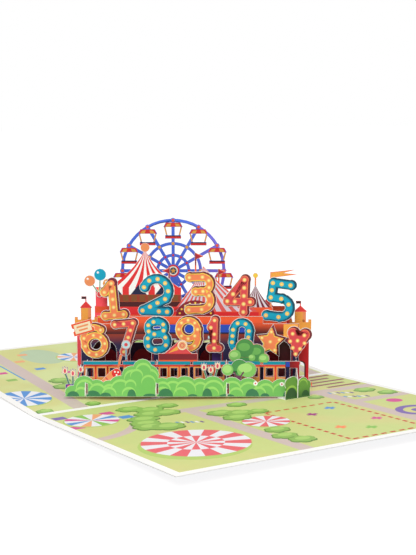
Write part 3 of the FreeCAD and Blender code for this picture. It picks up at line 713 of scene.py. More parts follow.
class CARD_OT_stage(CardOperator):
    """Sets the floor, the lamps, the world and the camera"""

    bl_idname = "card.stage"
    bl_label = "Stage"

    def make(self):
        bpy.context.scene.view_settings.view_transform = "Standard"
        bm = bmesh.new()
        bmesh.ops.create_grid(bm, x_segments=1, y_segments=1, size=6.0)
        mesh = bpy.data.meshes.new("floor")
        bm.to_mesh(mesh)
        bm.free()
        floor = bpy.data.objects.new("floor", mesh)
        bpy.context.scene.collection.objects.link(floor)
        mesh.materials.append(self.floor_material())
        self.world()
        self.lamp("key", (-0.58, -0.68, 0.92), 0.9, 10.6)
        self.lamp("fill", (0.9, -0.5, 0.8), 0.9, 2.2)
        self.camera()

    def floor_material(self):
        material = bpy.data.materials.new("studio_floor")
        material.use_nodes = True
        tree = material.node_tree
        shader = tree.nodes["Principled BSDF"]
        shader.inputs["Base Color"].default_value = (0.25, 0.25, 0.25, 1.0)
        shader.inputs["Roughness"].default_value = 0.9
        shader.inputs["Specular IOR Level"].default_value = 0.0
        ray = tree.nodes.new("ShaderNodeLightPath")
        seen = tree.nodes.new("ShaderNodeMath")
        seen.operation = "MAXIMUM"
        glow = tree.nodes.new("ShaderNodeMath")
        glow.operation = "MULTIPLY"
        glow.inputs[1].default_value = 0.9
        tree.links.new(ray.outputs["Is Camera Ray"], seen.inputs[0])
        tree.links.new(ray.outputs["Is Glossy Ray"], seen.inputs[1])
        tree.links.new(seen.outputs[0], glow.inputs[0])
        shader.inputs["Emission Color"].default_value = (1.0, 1.0, 1.0, 1.0)
        tree.links.new(glow.outputs[0], shader.inputs["Emission Strength"])
        return material

    def world(self):
        world = bpy.data.worlds.new("studio")
        bpy.context.scene.world = world
        world.use_nodes = True
        tree = world.node_tree
        lit = tree.nodes["Background"]
        lit.inputs["Color"].default_value = (1.0, 1.0, 1.0, 1.0)
        lit.inputs["Strength"].default_value = 0.6
        plain = tree.nodes.new("ShaderNodeBackground")
        plain.inputs["Color"].default_value = (1.0, 1.0, 1.0, 1.0)
        plain.inputs["Strength"].default_value = 1.0
        ray = tree.nodes.new("ShaderNodeLightPath")
        either = tree.nodes.new("ShaderNodeMixShader")
        tree.links.new(ray.outputs["Is Camera Ray"], either.inputs["Fac"])
        tree.links.new(lit.outputs[0], either.inputs[1])
        tree.links.new(plain.outputs[0], either.inputs[2])
        tree.links.new(either.outputs[0], tree.nodes["World Output"].inputs["Surface"])

    def lamp(self, name, place, size, power):
        light = bpy.data.lights.new(name, "AREA")
        light.shape = "DISK"
        light.size = size
        light.energy = power
        lamp = bpy.data.objects.new(name, light)
        lamp.location = place
        lamp.rotation_mode = "QUATERNION"
        lamp.rotation_quaternion = (Vector((0, 0, 0.03)) - Vector(place)).to_track_quat("-Z", "Y")
        bpy.context.scene.collection.objects.link(lamp)

    def camera(self):
        lens = bpy.data.cameras.new("photo")
        lens.lens = sizes().lens
        lens.sensor_width = 36.0
        lens.clip_start = 0.05
        lens.clip_end = 50.0
        camera = bpy.data.objects.new("photo", lens)
        camera.location = (-0.3618, -0.5912, 0.1659)
        camera.rotation_mode = "QUATERNION"
        camera.rotation_quaternion = Vector((0.5280, 0.8375, -0.1407)).to_track_quat("-Z", "Y")
        bpy.context.scene.collection.objects.link(camera)
        bpy.context.scene.camera = camera


class CARD_OT_card(CardOperator):
    """Gives the cover, the braces and every plate their bare card"""

    bl_idname = "card.card"
    bl_label = "Bare card"

    def make(self):
        white, tree, grain = paper("white_card", roughness=0.6, mottle=0.03)
        grain.inputs["Colour"].default_value = pigment("white_card")
        for name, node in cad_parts.items():
            node.data.materials.clear()
            node.data.materials.append(self.cover_card() if name == "cover" else white)

    def cover_card(self):
        """White inside, blue with two plain orange borders outside."""
        material, tree, grain = paper("cover_card", roughness=0.55, mottle=0.03)
        place = tree.nodes.new("ShaderNodeTexCoord")
        where = tree.nodes.new("ShaderNodeSeparateXYZ")
        tree.links.new(place.outputs["Object"], where.inputs["Vector"])
        facing = tree.nodes.new("ShaderNodeSeparateXYZ")
        tree.links.new(place.outputs["Normal"], facing.inputs["Vector"])
        outside = ranged(tree, facing.outputs["Z"], -0.4, -0.6)
        edges = []
        for axis, half in (("X", 0.1), ("Y", 0.15)):
            away = tree.nodes.new("ShaderNodeMath")
            away.operation = "ABSOLUTE"
            tree.links.new(where.outputs[axis], away.inputs[0])
            inward = tree.nodes.new("ShaderNodeMath")
            inward.operation = "SUBTRACT"
            inward.inputs[0].default_value = half
            tree.links.new(away.outputs[0], inward.inputs[1])
            edges.append(inward.outputs[0])
        nearest = tree.nodes.new("ShaderNodeMath")
        nearest.operation = "MINIMUM"
        tree.links.new(edges[0], nearest.inputs[0])
        tree.links.new(edges[1], nearest.inputs[1])
        border = tree.nodes.new("ShaderNodeValToRGB")
        border.color_ramp.interpolation = "CONSTANT"
        stops = border.color_ramp.elements
        stops[0].position = 0.0
        stops[0].color = pigment("outside_orange")
        stops[1].position = 0.16
        stops[1].color = pigment("outside_blue")
        for position, name in ((0.36, "outside_orange"), (0.42, "outside_blue")):
            stop = stops.new(position)
            stop.color = pigment(name)
        spread = tree.nodes.new("ShaderNodeMath")
        spread.operation = "MULTIPLY"
        spread.inputs[1].default_value = 1 / 0.02
        tree.links.new(nearest.outputs[0], spread.inputs[0])
        tree.links.new(spread.outputs[0], border.inputs["Fac"])
        painted = mixed(tree, outside, pigment("white_card"), border.outputs["Color"])
        tree.links.new(painted, grain.inputs["Colour"])
        return material


class CARD_OT_ground(CardOperator):
    """Prints the park plan on both halves of the card's inside"""

    bl_idname = "card.ground"
    bl_label = "Ground"

    def make(self):
        self.bm = bmesh.new()
        self.inks = []
        self.over = 0
        self.fields()
        self.paths()
        self.lot()
        self.beds()
        self.over = 3
        self.round_tops()
        self.over = 3
        self.clumps()
        self.press()

    def keep(self, name, faces):
        """Gives faces their ink and height."""
        if name not in self.inks:
            self.inks.append(name)
        for face in faces:
            face.material_index = self.inks.index(name)
            for vert in face.verts:
                vert.co.z = self.over
        return faces

    def shape(self, name, points):
        verts = [self.bm.verts.new((x, y, 0)) for x, y in points]
        return self.keep(name, [self.bm.faces.new(verts)])

    def path_run(self, name, start, end, width):
        run = hypot(end[0] - start[0], end[1] - start[1])
        side = (width / 2 * (start[1] - end[1]) / run, width / 2 * (end[0] - start[0]) / run)
        return self.shape(name, [
            (start[0] + side[0], start[1] + side[1]), (start[0] - side[0], start[1] - side[1]),
            (end[0] - side[0], end[1] - side[1]), (end[0] + side[0], end[1] + side[1])])

    def disc(self, name, x, y, across, along=None, sides=28):
        place = Matrix.Translation((x, y, 0)) @ Matrix.Diagonal((across, along or across, 1, 1))
        made = bmesh.ops.create_circle(self.bm, cap_ends=True, segments=sides, radius=1.0, matrix=place)
        return self.keep(name, made["verts"][0].link_faces[:])

    def ring(self, name, x, y, radius, width, sides=36):
        made = bmesh.ops.create_circle(self.bm, cap_ends=True, segments=sides, radius=radius + width / 2,
                                       matrix=Matrix.Translation((x, y, 0)))
        inner = made["verts"][0].link_faces[:]
        rim = bmesh.ops.inset_region(self.bm, faces=inner, thickness=width, use_boundary=True,
                                     use_even_offset=True)
        bmesh.ops.delete(self.bm, geom=inner, context="FACES")
        return self.keep(name, rim["faces"])

    def fields(self):
        self.shape("grass", [(-100, -150), (100, -150), (100, 0), (-100, 0)])
        self.shape("far_grass", [(-100, 0), (100, 0), (100, 150), (-100, 150)])

    def arc(self, name, x, y, radius, width, first, last):
        """A band along an arc, from one angle to another."""
        start = radians(first)
        ends = [self.bm.verts.new((x + reach * cos(start), y + reach * sin(start), 0))
                for reach in (radius - width / 2, radius + width / 2)]
        known = set(self.bm.faces)
        bmesh.ops.spin(self.bm, geom=ends + [self.bm.edges.new(ends)], cent=(x, y, 0), axis=(0, 0, 1),
                       angle=radians(last - first), steps=14)
        return self.keep(name, [face for face in self.bm.faces if face not in known])

    def paths(self):
        self.over = 1
        self.path_run("path", (-69.8, 2), (-65.4, 150), 9.0)
        self.path_run("path", (-26, -38), (-26, -150), 8.0)
        self.path_run("path", (57, -40), (57, -150), 8.0)
        self.path_run("path", (61, -76), (100, -76), 7.0)
        self.path_run("path", (90, 0), (90, 150), 8.0)
        self.path_run("path", (-60, -148), (100, -148), 3.4)
        self.arc("path", -100, -28, 42, 6.0, -88, -22)
        self.over = 1.5
        self.path_run("path", (-60, -36), (100, -46), 8.0)

    def lot(self):
        """A field marked off by dashes, with small coloured stalls on it."""
        self.over = 2
        corners = [(2, -70), (48, -70), (48, -143), (2, -143)]
        for start, end in zip(corners, corners[1:] + corners[:1]):
            run = hypot(end[0] - start[0], end[1] - start[1])
            count = int(run // 5.6)
            step = ((end[0] - start[0]) / count, (end[1] - start[1]) / count)
            for number in range(count):
                first = (start[0] + step[0] * (number + 0.2), start[1] + step[1] * (number + 0.2))
                last = (first[0] + step[0] * 0.6, first[1] + step[1] * 0.6)
                self.path_run("lot_red", first, last, 1.8)
        for x, y, name in ((20, -88, "stall_pink"), (37, -81, "canopy_blue"), (41, -115, "canopy_pink"),
                           (14, -119.6, "face_orange"), (26, -129, "canopy_green")):
            self.path_run(name, (x - 3.2, y), (x + 3.2, y), 2.4)
            self.path_run(name, (x, y - 3.2), (x, y - 1.2), 2.2)
            self.path_run(name, (x, y + 1.2), (x, y + 3.2), 2.2)

    def beds(self):
        self.over = 2
        for number in range(5):
            left = 64 if number % 2 else 70
            self.path_run("plum", (left, -6 - 7.6 * number), (left + 24, -6 - 7.6 * number), 2.8)
        for x, y in ((67, -53), (68, -66), (-40, -64)):
            for part in range(6):
                name = ("canopy_blue", "canopy_white", "petal_purple")[part % 3]
                across = x - 6 + 2.2 * part
                along = y + 3 - 1.2 * part
                self.path_run(name, (across, along - 1.8), (across, along + 1.8), 1.4)
        self.over = 1.8
        self.disc("pond", -40, 118, 13, 20)
        self.over = 2
        self.disc("canopy_pink", 77, -87, 4.6)
        self.ring("violet", 71, -113, 10.0, 4.2)
        self.disc("violet", 71, -113, 3.6)
        for x, y, name in ((-49.5, 127.4, "canopy_orange"), (-54, 90, "canopy_blue"),
                           (-43, 75, "canopy_pink"), (-79, 90, "canopy_pink"), (-80, 73, "clump"),
                           (-58, 112, "canopy_orange")):
            self.path_run(name, (x - 3.2, y), (x + 3.2, y), 4.4)
        self.path_run("canopy_blue", (-73, 70), (-73, 112), 1.2)
        for x, y, name in ((-91, -15, "violet"), (-65, -19, "canopy_pink"), (-61, -33, "canopy_blue"),
                           (-93, -40, "canopy_pink")):
            self.path_run(name, (x - 3.6, y), (x + 3.6, y), 6.4)

    def round_top(self, names, x, y, radius, stripes, turns=1):
        """A round striped tent top seen from above, with its shade on the grass."""
        self.over = 3
        shift = 0.12 * radius if turns > 1 else 0.05 * radius
        self.disc("shade_green", x - shift, y - 1.3 * shift, radius + 0.6, sides=40)
        for part in range(turns):
            self.over = 4 + part
            made = bmesh.ops.create_circle(
                self.bm, cap_ends=True, cap_tris=True, segments=stripes * 2,
                radius=radius * (1 - 0.48 * part),
                matrix=Matrix.Translation((x, y, 0)) @ Matrix.Rotation(pi / stripes * (part + 0.5), 4, "Z"))
            centre = max(made["verts"], key=lambda vert: len(vert.link_edges))
            fan = sorted(centre.link_faces, key=lambda face: atan2(
                face.calc_center_median().y - y, face.calc_center_median().x - x))
            for number, face in enumerate(fan):
                name = names[(number // 2 + part) % len(names)]
                self.keep(name, [face])

    def round_tops(self):
        self.round_top(["canopy_red", "canopy_white"], -61, -103.4, 26.7, 20, turns=2)
        self.round_top(["canopy_red", "canopy_white"], -8.3, -86.4, 12.4, 16)
        self.round_top(["canopy_blue", "canopy_white"], -89.7, 33.4, 15.4, 16)
        self.round_top(["canopy_blue", "canopy_white", "canopy_orange", "canopy_white", "canopy_green",
                        "canopy_white", "canopy_pink", "canopy_white"], -79.1, -29.3, 14.4, 16)
        self.round_top(["canopy_blue", "canopy_white", "canopy_orange", "canopy_white"], -22.4, 108, 10.8, 16)

    def clump(self, lumps):
        """A few trees that stand close together, seen from above."""
        self.over = 5
        for x, y, radius in lumps:
            for part in range(6):
                angle = part * pi / 3 + radius
                self.disc("clump_dark", x + 0.6 * radius * cos(angle) - 0.6, y + 0.5 * radius * sin(angle) - 1.0,
                          radius * 0.56, radius * 0.52, sides=12)
                self.over += 0.05
        self.over = 9
        for x, y, radius in lumps:
            for part in range(6):
                angle = part * pi / 3 + radius
                self.disc("clump", x + 0.6 * radius * cos(angle), y + 0.5 * radius * sin(angle),
                          radius * 0.47, radius * 0.42, sides=12)
                self.over += 0.05
            self.disc("clump", x, y, radius * 0.74, radius * 0.62, sides=14)
            self.over += 0.05
            self.disc("clump_light", x + 0.8, y + 1.0, radius * 0.62, radius * 0.46, sides=14)
            self.over += 0.05

    def clumps(self):
        self.clump([(-29, -21.4, 5.6), (-50, -17, 7), (-42, -25, 7.4), (-47, -34, 8), (-38, -36, 7.4),
                    (-56, -43, 8), (-60, -52, 7.6), (-62, -60, 8), (-54, -65, 8.6)])
        self.clump([(2.5, -42.7, 5.4), (-15.8, -55, 7.2), (-7.7, -61, 7.6), (2.3, -63.5, 5.6),
                    (-14.6, -69, 7.4)])
        self.clump([(-14.2, -104.4, 6.4), (-18.6, -117, 6.4), (-16, -128, 6.6)])
        self.clump([(48.6, -53.4, 4.4)])
        self.clump([(83, -54, 6), (89, -67, 5.4)])
        self.clump([(-55, 60, 6), (-59, 47, 5.6), (-51, 52, 5)])
        self.clump([(-90, 5, 4.6)])
        self.clump([(-60, 7, 4.0)])
        self.clump([(74, 60, 7), (66, 72, 6), (78, 84, 7)])
        self.clump([(20, 120, 8), (32, 128, 7), (10, 132, 6)])

    def press(self):
        """Clips the fields to the two printed halves, thickens them and lays them on the slopes."""
        side = 100 - sizes().margin / MM
        end = 150 * cos(radians(2.35)) - sizes().margin / MM
        strip = sizes().fold_strip / MM
        for at, away in (((side, 0, 0), (1, 0, 0)), ((-side, 0, 0), (-1, 0, 0)),
                         ((0, end, 0), (0, 1, 0)), ((0, -end, 0), (0, -1, 0))):
            geom = self.bm.verts[:] + self.bm.edges[:] + self.bm.faces[:]
            bmesh.ops.bisect_plane(self.bm, geom=geom, plane_co=at, plane_no=away, clear_outer=True)
        for y in (-strip, strip):
            geom = self.bm.verts[:] + self.bm.edges[:] + self.bm.faces[:]
            bmesh.ops.bisect_plane(self.bm, geom=geom, plane_co=(0, y, 0), plane_no=(0, 1, 0))
        bare = [face for face in self.bm.faces if abs(face.calc_center_median().y) < strip]
        bmesh.ops.delete(self.bm, geom=bare, context="FACES")
        loose = [vert for vert in self.bm.verts if not vert.link_faces]
        bmesh.ops.delete(self.bm, geom=loose, context="VERTS")
        rise = sizes().ink_rise / MM
        step = sizes().ink_step / MM
        for vert in self.bm.verts:
            vert.co.z = rise + step * vert.co.z
        made = bmesh.ops.extrude_face_region(self.bm, geom=self.bm.faces[:], use_keep_orig=True)
        for item in made["geom"]:
            if isinstance(item, bmesh.types.BMVert):
                item.co.z = -0.15 - item.co.z
        bmesh.ops.recalc_face_normals(self.bm, faces=self.bm.faces)
        slope = radians(2.35)
        for vert in self.bm.verts:
            vert.co.z += 0.5 / cos(slope) + (abs(vert.co.y) - 2.2) * tan(slope)
        place_piece(self.bm, square(), "ground_print", self.inks)


HEDGE_LOBES = (
    (-60.0, 14.9, 6.0), (-53.0, 12.8, 5.6), (-46.0, 12.4, 5.6), (-40.0, 15.0, 6.4),
    (-33.2, 20.6, 5.8), (-27.2, 24.4, 5.4), (-23.6, 21.0, 5.6), (-16.4, 13.8, 5.4),
    (-10.6, 14.2, 6.0), (-3.6, 14.8, 6.8), (4.6, 13.6, 5.0), (12.0, 14.7, 6.8),
    (22.6, 14.2, 6.0), (31.6, 13.7, 6.4), (41.2, 12.8, 5.4), (50.0, 13.2, 6.0), (57.0, 13.6, 4.6))


class CARD_OT_garden(CardOperator):
    """Prints the hedge, the flowers, the tree, the cone and the corner bushes"""

    bl_idname = "card.garden"
    bl_label = "Garden"

    def make(self):
        self.hedge()
        self.tulips("left_tulips", -66.2, 7.0, 4.4)
        self.tulips("middle_tulips", 10.8, 9.0, 3.8)
        self.tree()
        self.cone()
        self.bush("corner_bush", -1)
        self.bush("rear_corner_foot", 1)

    def hedge(self):
        low = FOOT + 0.25
        hedge = Plate("hedge", "hedge_green", slot_top=8.2)
        for run in (0, 1):
            hedge.over = 1 + 2 * run
            for x, top, radius in HEDGE_LOBES[run::2]:
                hedge.crescent("hedge_light", "hedge_green", x + 0.4, top - radius - 1.1, radius - 1.0,
                               low=low, width=0.3, lowered=1.1)
        hedge.over = 6
        for x, up, radius in ((-30.6, 15.2, 3.6), (-24.0, 11.4, 4.0), (-34.0, 9.6, 3.2)):
            hedge.crescent("hedge_light", "hedge_green", x, up, radius, low=low, width=0.3, lowered=1.0)
            hedge.over += 2
        for number in range(9):
            x = -61.6 + 14.4 * number + 2.4 * sin(2.6 * number)
            if x < 52:
                hedge.over = 13
                hedge.crescent("hedge_light", "hedge_green", x, 4.6 + 0.8 * sin(3.1 * number), 4.0,
                               low=low, width=0.2, lowered=1.2)
        for number in range(12):
            x = -68.0 + 11.1 * number + 2.2 * sin(2.3 * number)
            wide = 3.4 + 1.0 * sin(1.7 * number)
            if x + wide < 58:
                hedge.over = 15 + number % 2
                hedge.disc("hedge_dark", max(x, -69.6 + wide), low, wide, sides=16, low=low,
                           tall=(2.9 + 1.7 * sin(2.9 * number)) / wide)
        hedge.over = 17
        for x, up in ((35.8, 10.5), (50.5, 10.1)):
            hedge.disc("tent_white", x, up, 1.25, sides=12)
            hedge.over += 1
            hedge.disc("face_red", x, up, 0.45, sides=10)
            hedge.over -= 1
        for place in SLOT_PLACES[:3]:
            hedge.opened(place - 0.1, place + 1.45, 4.25, 10.55)
        hedge.finish()

    def tulips(self, node, x, foot, spread):
        bunch = Plate(node, "petal_purple")
        bunch.over = 1
        for number, (lean, height) in enumerate(((-spread, 9.6), (0.0, 8.2), (spread, 10.4))):
            head = (x + lean, foot + height)
            bunch.bar("leaf_dark", (x + lean * 0.45, foot + 3.0), (head[0], head[1] - 0.9), 0.6)
            bunch.over = 2
            bunch.disc("petal_cream", head[0], head[1] + 0.6, 1.4, sides=16)
            bunch.over = 3
            bunch.shape("petal_cream", [
                (head[0] - 1.3, head[1] + 1.0), (head[0] + 1.3, head[1] + 1.0),
                (head[0] + 1.25, head[1] + 3.1), (head[0] + 0.7, head[1] + 2.1), (head[0], head[1] + 3.3),
                (head[0] - 0.7, head[1] + 2.1), (head[0] - 1.25, head[1] + 3.1)])
            bunch.over = 4
            bunch.disc("petal_pink", head[0], head[1] + 0.9, 0.7, sides=12, tall=1.8)
            bunch.over = 1
        bunch.over = 5
        bunch.disc("petal_pink", x - 2.2, foot + 1.6, 1.0, sides=12)
        bunch.disc("yellow", x + 1.8, foot + 1.5, 0.9, sides=12)
        bunch.finish()

    def tree(self):
        x = 26.4
        foot = 8.0
        tree = Plate("garden_tree", "trunk")
        tree.over = 1
        tree.disc("leaf_dark", x + 0.4, foot + 11.4, 4.6)
        tree.block("leaf_dark", x - 5.0, x + 5.0, foot + 8.2, foot + 9.6)
        tree.over = 2
        for left, up, radius in ((2.4, 9.9, 3.4), (5.4, 10.2, 4.3), (-6.2, 10.2, 3.2)):
            tree.disc("leaf", x + left, foot + up, radius)
            tree.over += 1
        for left, up, radius, tall in ((3.6, 11.2, 3.9, 0.66), (-6.4, 10.6, 2.5, 0.9)):
            tree.disc("leaf_light", x + left, foot + up, radius, tall=tall)
            tree.over += 1
        for side in (-1, 1):
            tree.bar("trunk", (x + 0.4 * side, foot + 5.4), (x + side * 2.8, foot + 9.0), 0.8)
        tree.finish()

    def cone(self):
        x = -46.8
        foot = 5.6
        cone = Plate("party_cone", "finial")
        cone.over = 1
        for share in (0.25, 0.5):
            start = (x - 5.0 + 7.6 * share, foot + 4.4 + 7.6 * share)
            end = (x - 1.8 + 8.4 * share, foot + 0.6 + 7.8 * share)
            cone.bar("face_red", start, end, 0.7)
        cone.over = 2
        cone.disc("tent_red", x + 4.9, foot + 10.6, 2.6, sides=16)
        cone.over = 3
        for left, up in ((4.1, 11.4), (5.9, 11.2), (5.0, 9.6)):
            cone.disc("tent_white", x + left, foot + up, 0.5, sides=10)
        cone.finish()

    def bush(self, node, facing):
        lo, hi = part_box(node)
        x = (lo.x + hi.x) / 2 / MM
        low = 3.4
        side = -facing
        bush = Plate(node, "olive", place=square(), facing=facing)
        for away, up, radius in ((5.4, 11.3, 3.4), (3.4, 12.0, 3.2)):
            bush.over += 1
            bush.disc("olive", x - side * away, up, radius - 0.2, low=low)
        bush.over = 3
        bush.block("olive", *sorted((x - side * 0.7, x - side * 8.2)), 4.0, 11.4)
        bush.over = 4
        bush.disc("olive_light", x - side * 4.4, 6.4, 3.9, low=low)
        bush.disc("olive_light", x + side * 3.6, 10.2, 3.0, low=low)
        bush.over = 5
        bush.disc("olive", x - side * 4.4, 5.4, 3.7, low=low)
        bush.disc("olive", x + side * 3.4, 9.3, 2.9, low=low)
        bush.over = 6
        bush.disc("bush_dark", x - side * 4.5, low, 3.8, low=low, tall=1.45)
        bush.disc("bush_dark", x + side * 5.2, low, 2.6, low=low, tall=1.2)
        bush.finish()


class CARD_OT_train(CardOperator):
    """Prints the train, its kiosk and its trees"""

    bl_idname = "card.train"
    bl_label = "Train"

    def make(self):
        train = Plate("train", "train_red", slot_top=11.3)
        ends = [-ROW_END] + [x - 9.875 for x in BAYS[1:]] + [ROW_END]
        cars = [(left + 1.0, right - 1.0) for left, right in zip(ends, ends[1:])]
        cars[0] = (-ROW_END, cars[0][1])
        cars[-1] = (cars[-1][0], ROW_END)
        train.over = 1
        for left, right in cars:
            train.block("train_teal", left - 0.2, right + 0.2, 19.7, 21.65)
            share = (right - left) / 3
            for number in range(3):
                middle = left + share * (number + 0.5)
                half = share * 0.31 + 0.2
                train.surround("train_amber", middle - half, middle + half, 12.6, 18.0, 0.6)
                train.block("train_amber", middle - half - 0.6, middle + half + 0.6, 8.2, 11.9)
        train.over = 3
        # The train's right end is printed as the castle's right wall, darkening into painted shade towards the left.
        train.tinted("wall_red", 52.8, ROW_END, FOOT, 21.6)
        train.over = 4
        train.block("navy", 53.2, 55.0, 8.0, 18.4)
        train.over = 5
        train.block("band_blue", 53.1, 55.2, 18.5, 21.4)
        self.trees(train)
        self.kiosk(train)
        self.lamp(train)
        train.finish()

    def trees(self, train):
        x = 32.4
        train.over = 3
        train.block("leaf_dark", x - 9.5, x + 8.3, 21.7, 24.0)
        train.block("leaf_dark", x - 6.4, x + 6.4, 24.1, 25.4)
        lumps = ((4.2, 5.2, 4.8, "grove_dark"), (-2.4, 7.6, 5.4, "grove_dark"), (-8.0, 3.2, 3.6, "leaf"),
                 (8.2, 1.4, 3.2, "leaf"), (1.6, 2.0, 2.2, "leaf"))
        for number, (left, above, radius, name) in enumerate(lumps):
            light = "grove" if name == "grove_dark" else "leaf_light"
            train.over = 4 + 2 * number
            train.disc(name, x + left, 21.8 + above, radius - 0.3, low=21.0)
            train.over += 1
            train.disc(light, x + left - 0.5, 21.8 + above + 0.5, 0.62 * radius, low=21.4, tall=0.7)

    def kiosk(self, train):
        x = -7.5
        train.over = 3
        train.block("maroon", x - 10.8, x + 10.6, 21.8, 25.9)
        train.over = 4
        train.block("band_red", x - 10.8, x + 10.6, 21.7, 22.5)
        train.shape("face_red", [(x - 7.4, 26.1), (x + 7.4, 26.1), (x, 32.5)])
        train.over = 5
        train.disc("petal_cream", x + 2.3, 30.8, 2.7, sides=20)
        train.shape("castle_amber", [(x - 5.6, 26.4), (x + 0.2, 28.2), (x - 0.6, 30.4)])
        train.over = 6
        train.disc("canopy_orange", x + 2.3, 30.8, 2.1, sides=20)
        train.over = 7
        train.ring("face_red", x + 2.3, 30.8, 1.1, 0.4, sides=18)

    def lamp(self, train):
        x = -36.8
        train.over = 3
        train.disc("sky", x, 31.2, 2.3, sides=20)
        train.over = 4
        train.disc("face_red", x, 31.2, 1.0, sides=16)
        train.bar("face_teal", (x, 22.4), (x, 28.6), 0.6)
        train.bar("finial", (x - 4.6, 17.6), (x - 2.9, 24.9), 1.1)


class CARD_OT_station(CardOperator):
    """Prints the station's arcade"""

    bl_idname = "card.station"
    bl_label = "Station"

    def make(self):
        # The brown coat darkens into painted shade towards the bottom, behind the lower numerals.
        station = Plate("station", "brown", slot_top=14.2)
        station.over = 1
        # The orange-red bands darken downwards into painted shade between the rows.
        station.block("band_deep", -53.4, 60.5, 36.0, 41.9)
        station.block("castle_amber", -62.5, -53.5, 34.0, 41.9)
        station.block("band_deep", -35.2, 40.2, 42.0, 46.0)
        station.over = 2
        station.block("band_blue", -22.0, 34.0, 36.6, 41.5)
        station.block("castle_amber", 52.0, 60.3, 34.0, 41.7)
        station.over = 3
        station.block("navy", -22.0, 34.0, 36.3, 37.0)
        station.over = 4
        for x, low, high in ((-14.0, 27.0, 35.5), (-10.0, 24.0, 33.0), (10.5, 25.0, 35.0), (22.0, 24.0, 32.0)):
            station.block("sky", x - 1.3, x + 1.3, max(low, 33.4), high)
        station.over = 2
        # Painted shade: a dark strip down each side of every arch.
        for x in BAYS:
            for side in (-1, 1):
                station.block("maroon", *sorted((x + side * 7.2, x + side * 7.9)), 9.0, 26.0)
        station.finish()


class CARD_OT_tents(CardOperator):
    """Prints the tents and their pennants"""

    bl_idname = "card.tents"
    bl_label = "Tents"

    def make(self):
        tents = Plate("tents", "band_red", slot_top=22.8)
        self.wall(tents)
        tents.over = 2
        tents.striped_roof(["tent_red", "tent_white"], (-26.4, 83.4), -48.0, -6.6, 61.4, 0.14, 11)
        tents.striped_roof(["tent_rose", "tent_grey"], (6.6, 74.0), -12.0, 39.0, 47.6, 0.09, 21)
        tents.over = 5
        tents.striped_roof(["side_maroon", "tent_grey"], (36.2, 63.4), 27.6, 45.4, 50.0, 0.10, 11)
        tents.over = 6
        tents.disc("finial", -26.4, 84.6, 2.35, sides=20)
        tents.disc("yellow", 36.2, 68.6, 1.3, sides=16)
        tents.bar("finial", (36.2, 63.6), (36.2, 67.2), 0.6)
        self.dome(tents)
        self.pennants(tents)
        tents.finish()

    def wall(self, tents):
        tents.over = 1
        pitch = 40.6 / 11
        for number in range(11):
            left = -46.8 + number * pitch
            tents.block("tent_white" if number % 2 else "tent_red", left, left + pitch, 57.6, 61.75)
        tents.block("brick", -46.8, -6.2, 53.6, 57.5)
        tents.block("castle_deep", -46.8, -6.2, 50.6, 53.5)
        tents.block("tent_red", -6.0, 38.2, 45.4, 47.5)
        # Painted shade behind the lower numerals and in the arcades: the tents' wall is printed dark from its foot up
        # to 38 mm.
        tents.block("castle_deep", -53.8, 53.8, 34.2, 38.0)
        for left in (-60.7, -21.2, 10.3, 49.8):
            tents.block("castle_deep", left, left + 10.9, FOOT + 0.2, 34.1)
        tents.over = 2
        for left, low, high, name in ((11.6, 19.0, 27.0, "petal_purple"), (11.6, 27.2, 28.8, "hedge_dark"),
                                      (-18.0, 20.0, 29.0, "band_blue")):
            tents.block(name, left, left + 6.6, low, high)
        tents.over = 4
        for x in (-44.3, -30.2, -16.2):
            tents.shape("navy", [(max(x - 4.6, -46.8), 57.6), (x + 4.6, 57.6), (x, 63.4)])
        tents.over = 2
        for number in range(9):
            x = -45.4 + number * 4.7
            tents.block("brown", x, x + 1.6, 53.8, 57.2)
        tents.block("tent_red", -46.8, -6.2, 46.0, 50.5)
        tents.block("yellow", -53.6, 53.6, 44.4, 45.0)

    def dome(self, tents):
        tents.over = 7
        tents.disc("maroon", 2.0, 45.6, 11.0, sides=28, low=45.4, tall=0.8)
        tents.over = 8
        for number in range(9):
            angle = pi * (number + 0.5) / 9
            tents.disc("yellow", 2.0 + 9.0 * cos(angle), 45.6 + 7.2 * sin(angle), 0.6, sides=10)
        for x, up in ((-3.0, 48.8), (2.0, 50.0), (7.0, 48.8)):
            tents.disc("face_red", x, up, 0.8, sides=10)

    def pennants(self, tents):
        tents.over = 7
        for x, low, high, flag, reach in ((2.2, 74.4, 81.4, 4.0, 4.6), (15.4, 67.4, 72.2, 3.4, 4.2),
                                          (-12.8, 66.6, 72.8, 3.4, -4.2)):
            tents.bar("side_maroon", (x, low), (x, high), 0.6)
            tents.over = 8
            side = 1 if reach > 0 else -1
            tents.shape("flag_red", [(x + 0.1 * side, high - 0.5), (x + reach - 0.9 * side, high - flag / 2),
                                       (x + 0.1 * side, high - flag + 0.5)])
            tents.over = 7
        tents.bar("finial", (45.0, 50.6), (45.0, 70.3), 0.6)
        tents.over = 8
        tents.shape("castle_amber", [(45.2, 67.6), (57.4, 69.1), (51.4, 70.0), (56.6, 71.4), (45.2, 70.2)])


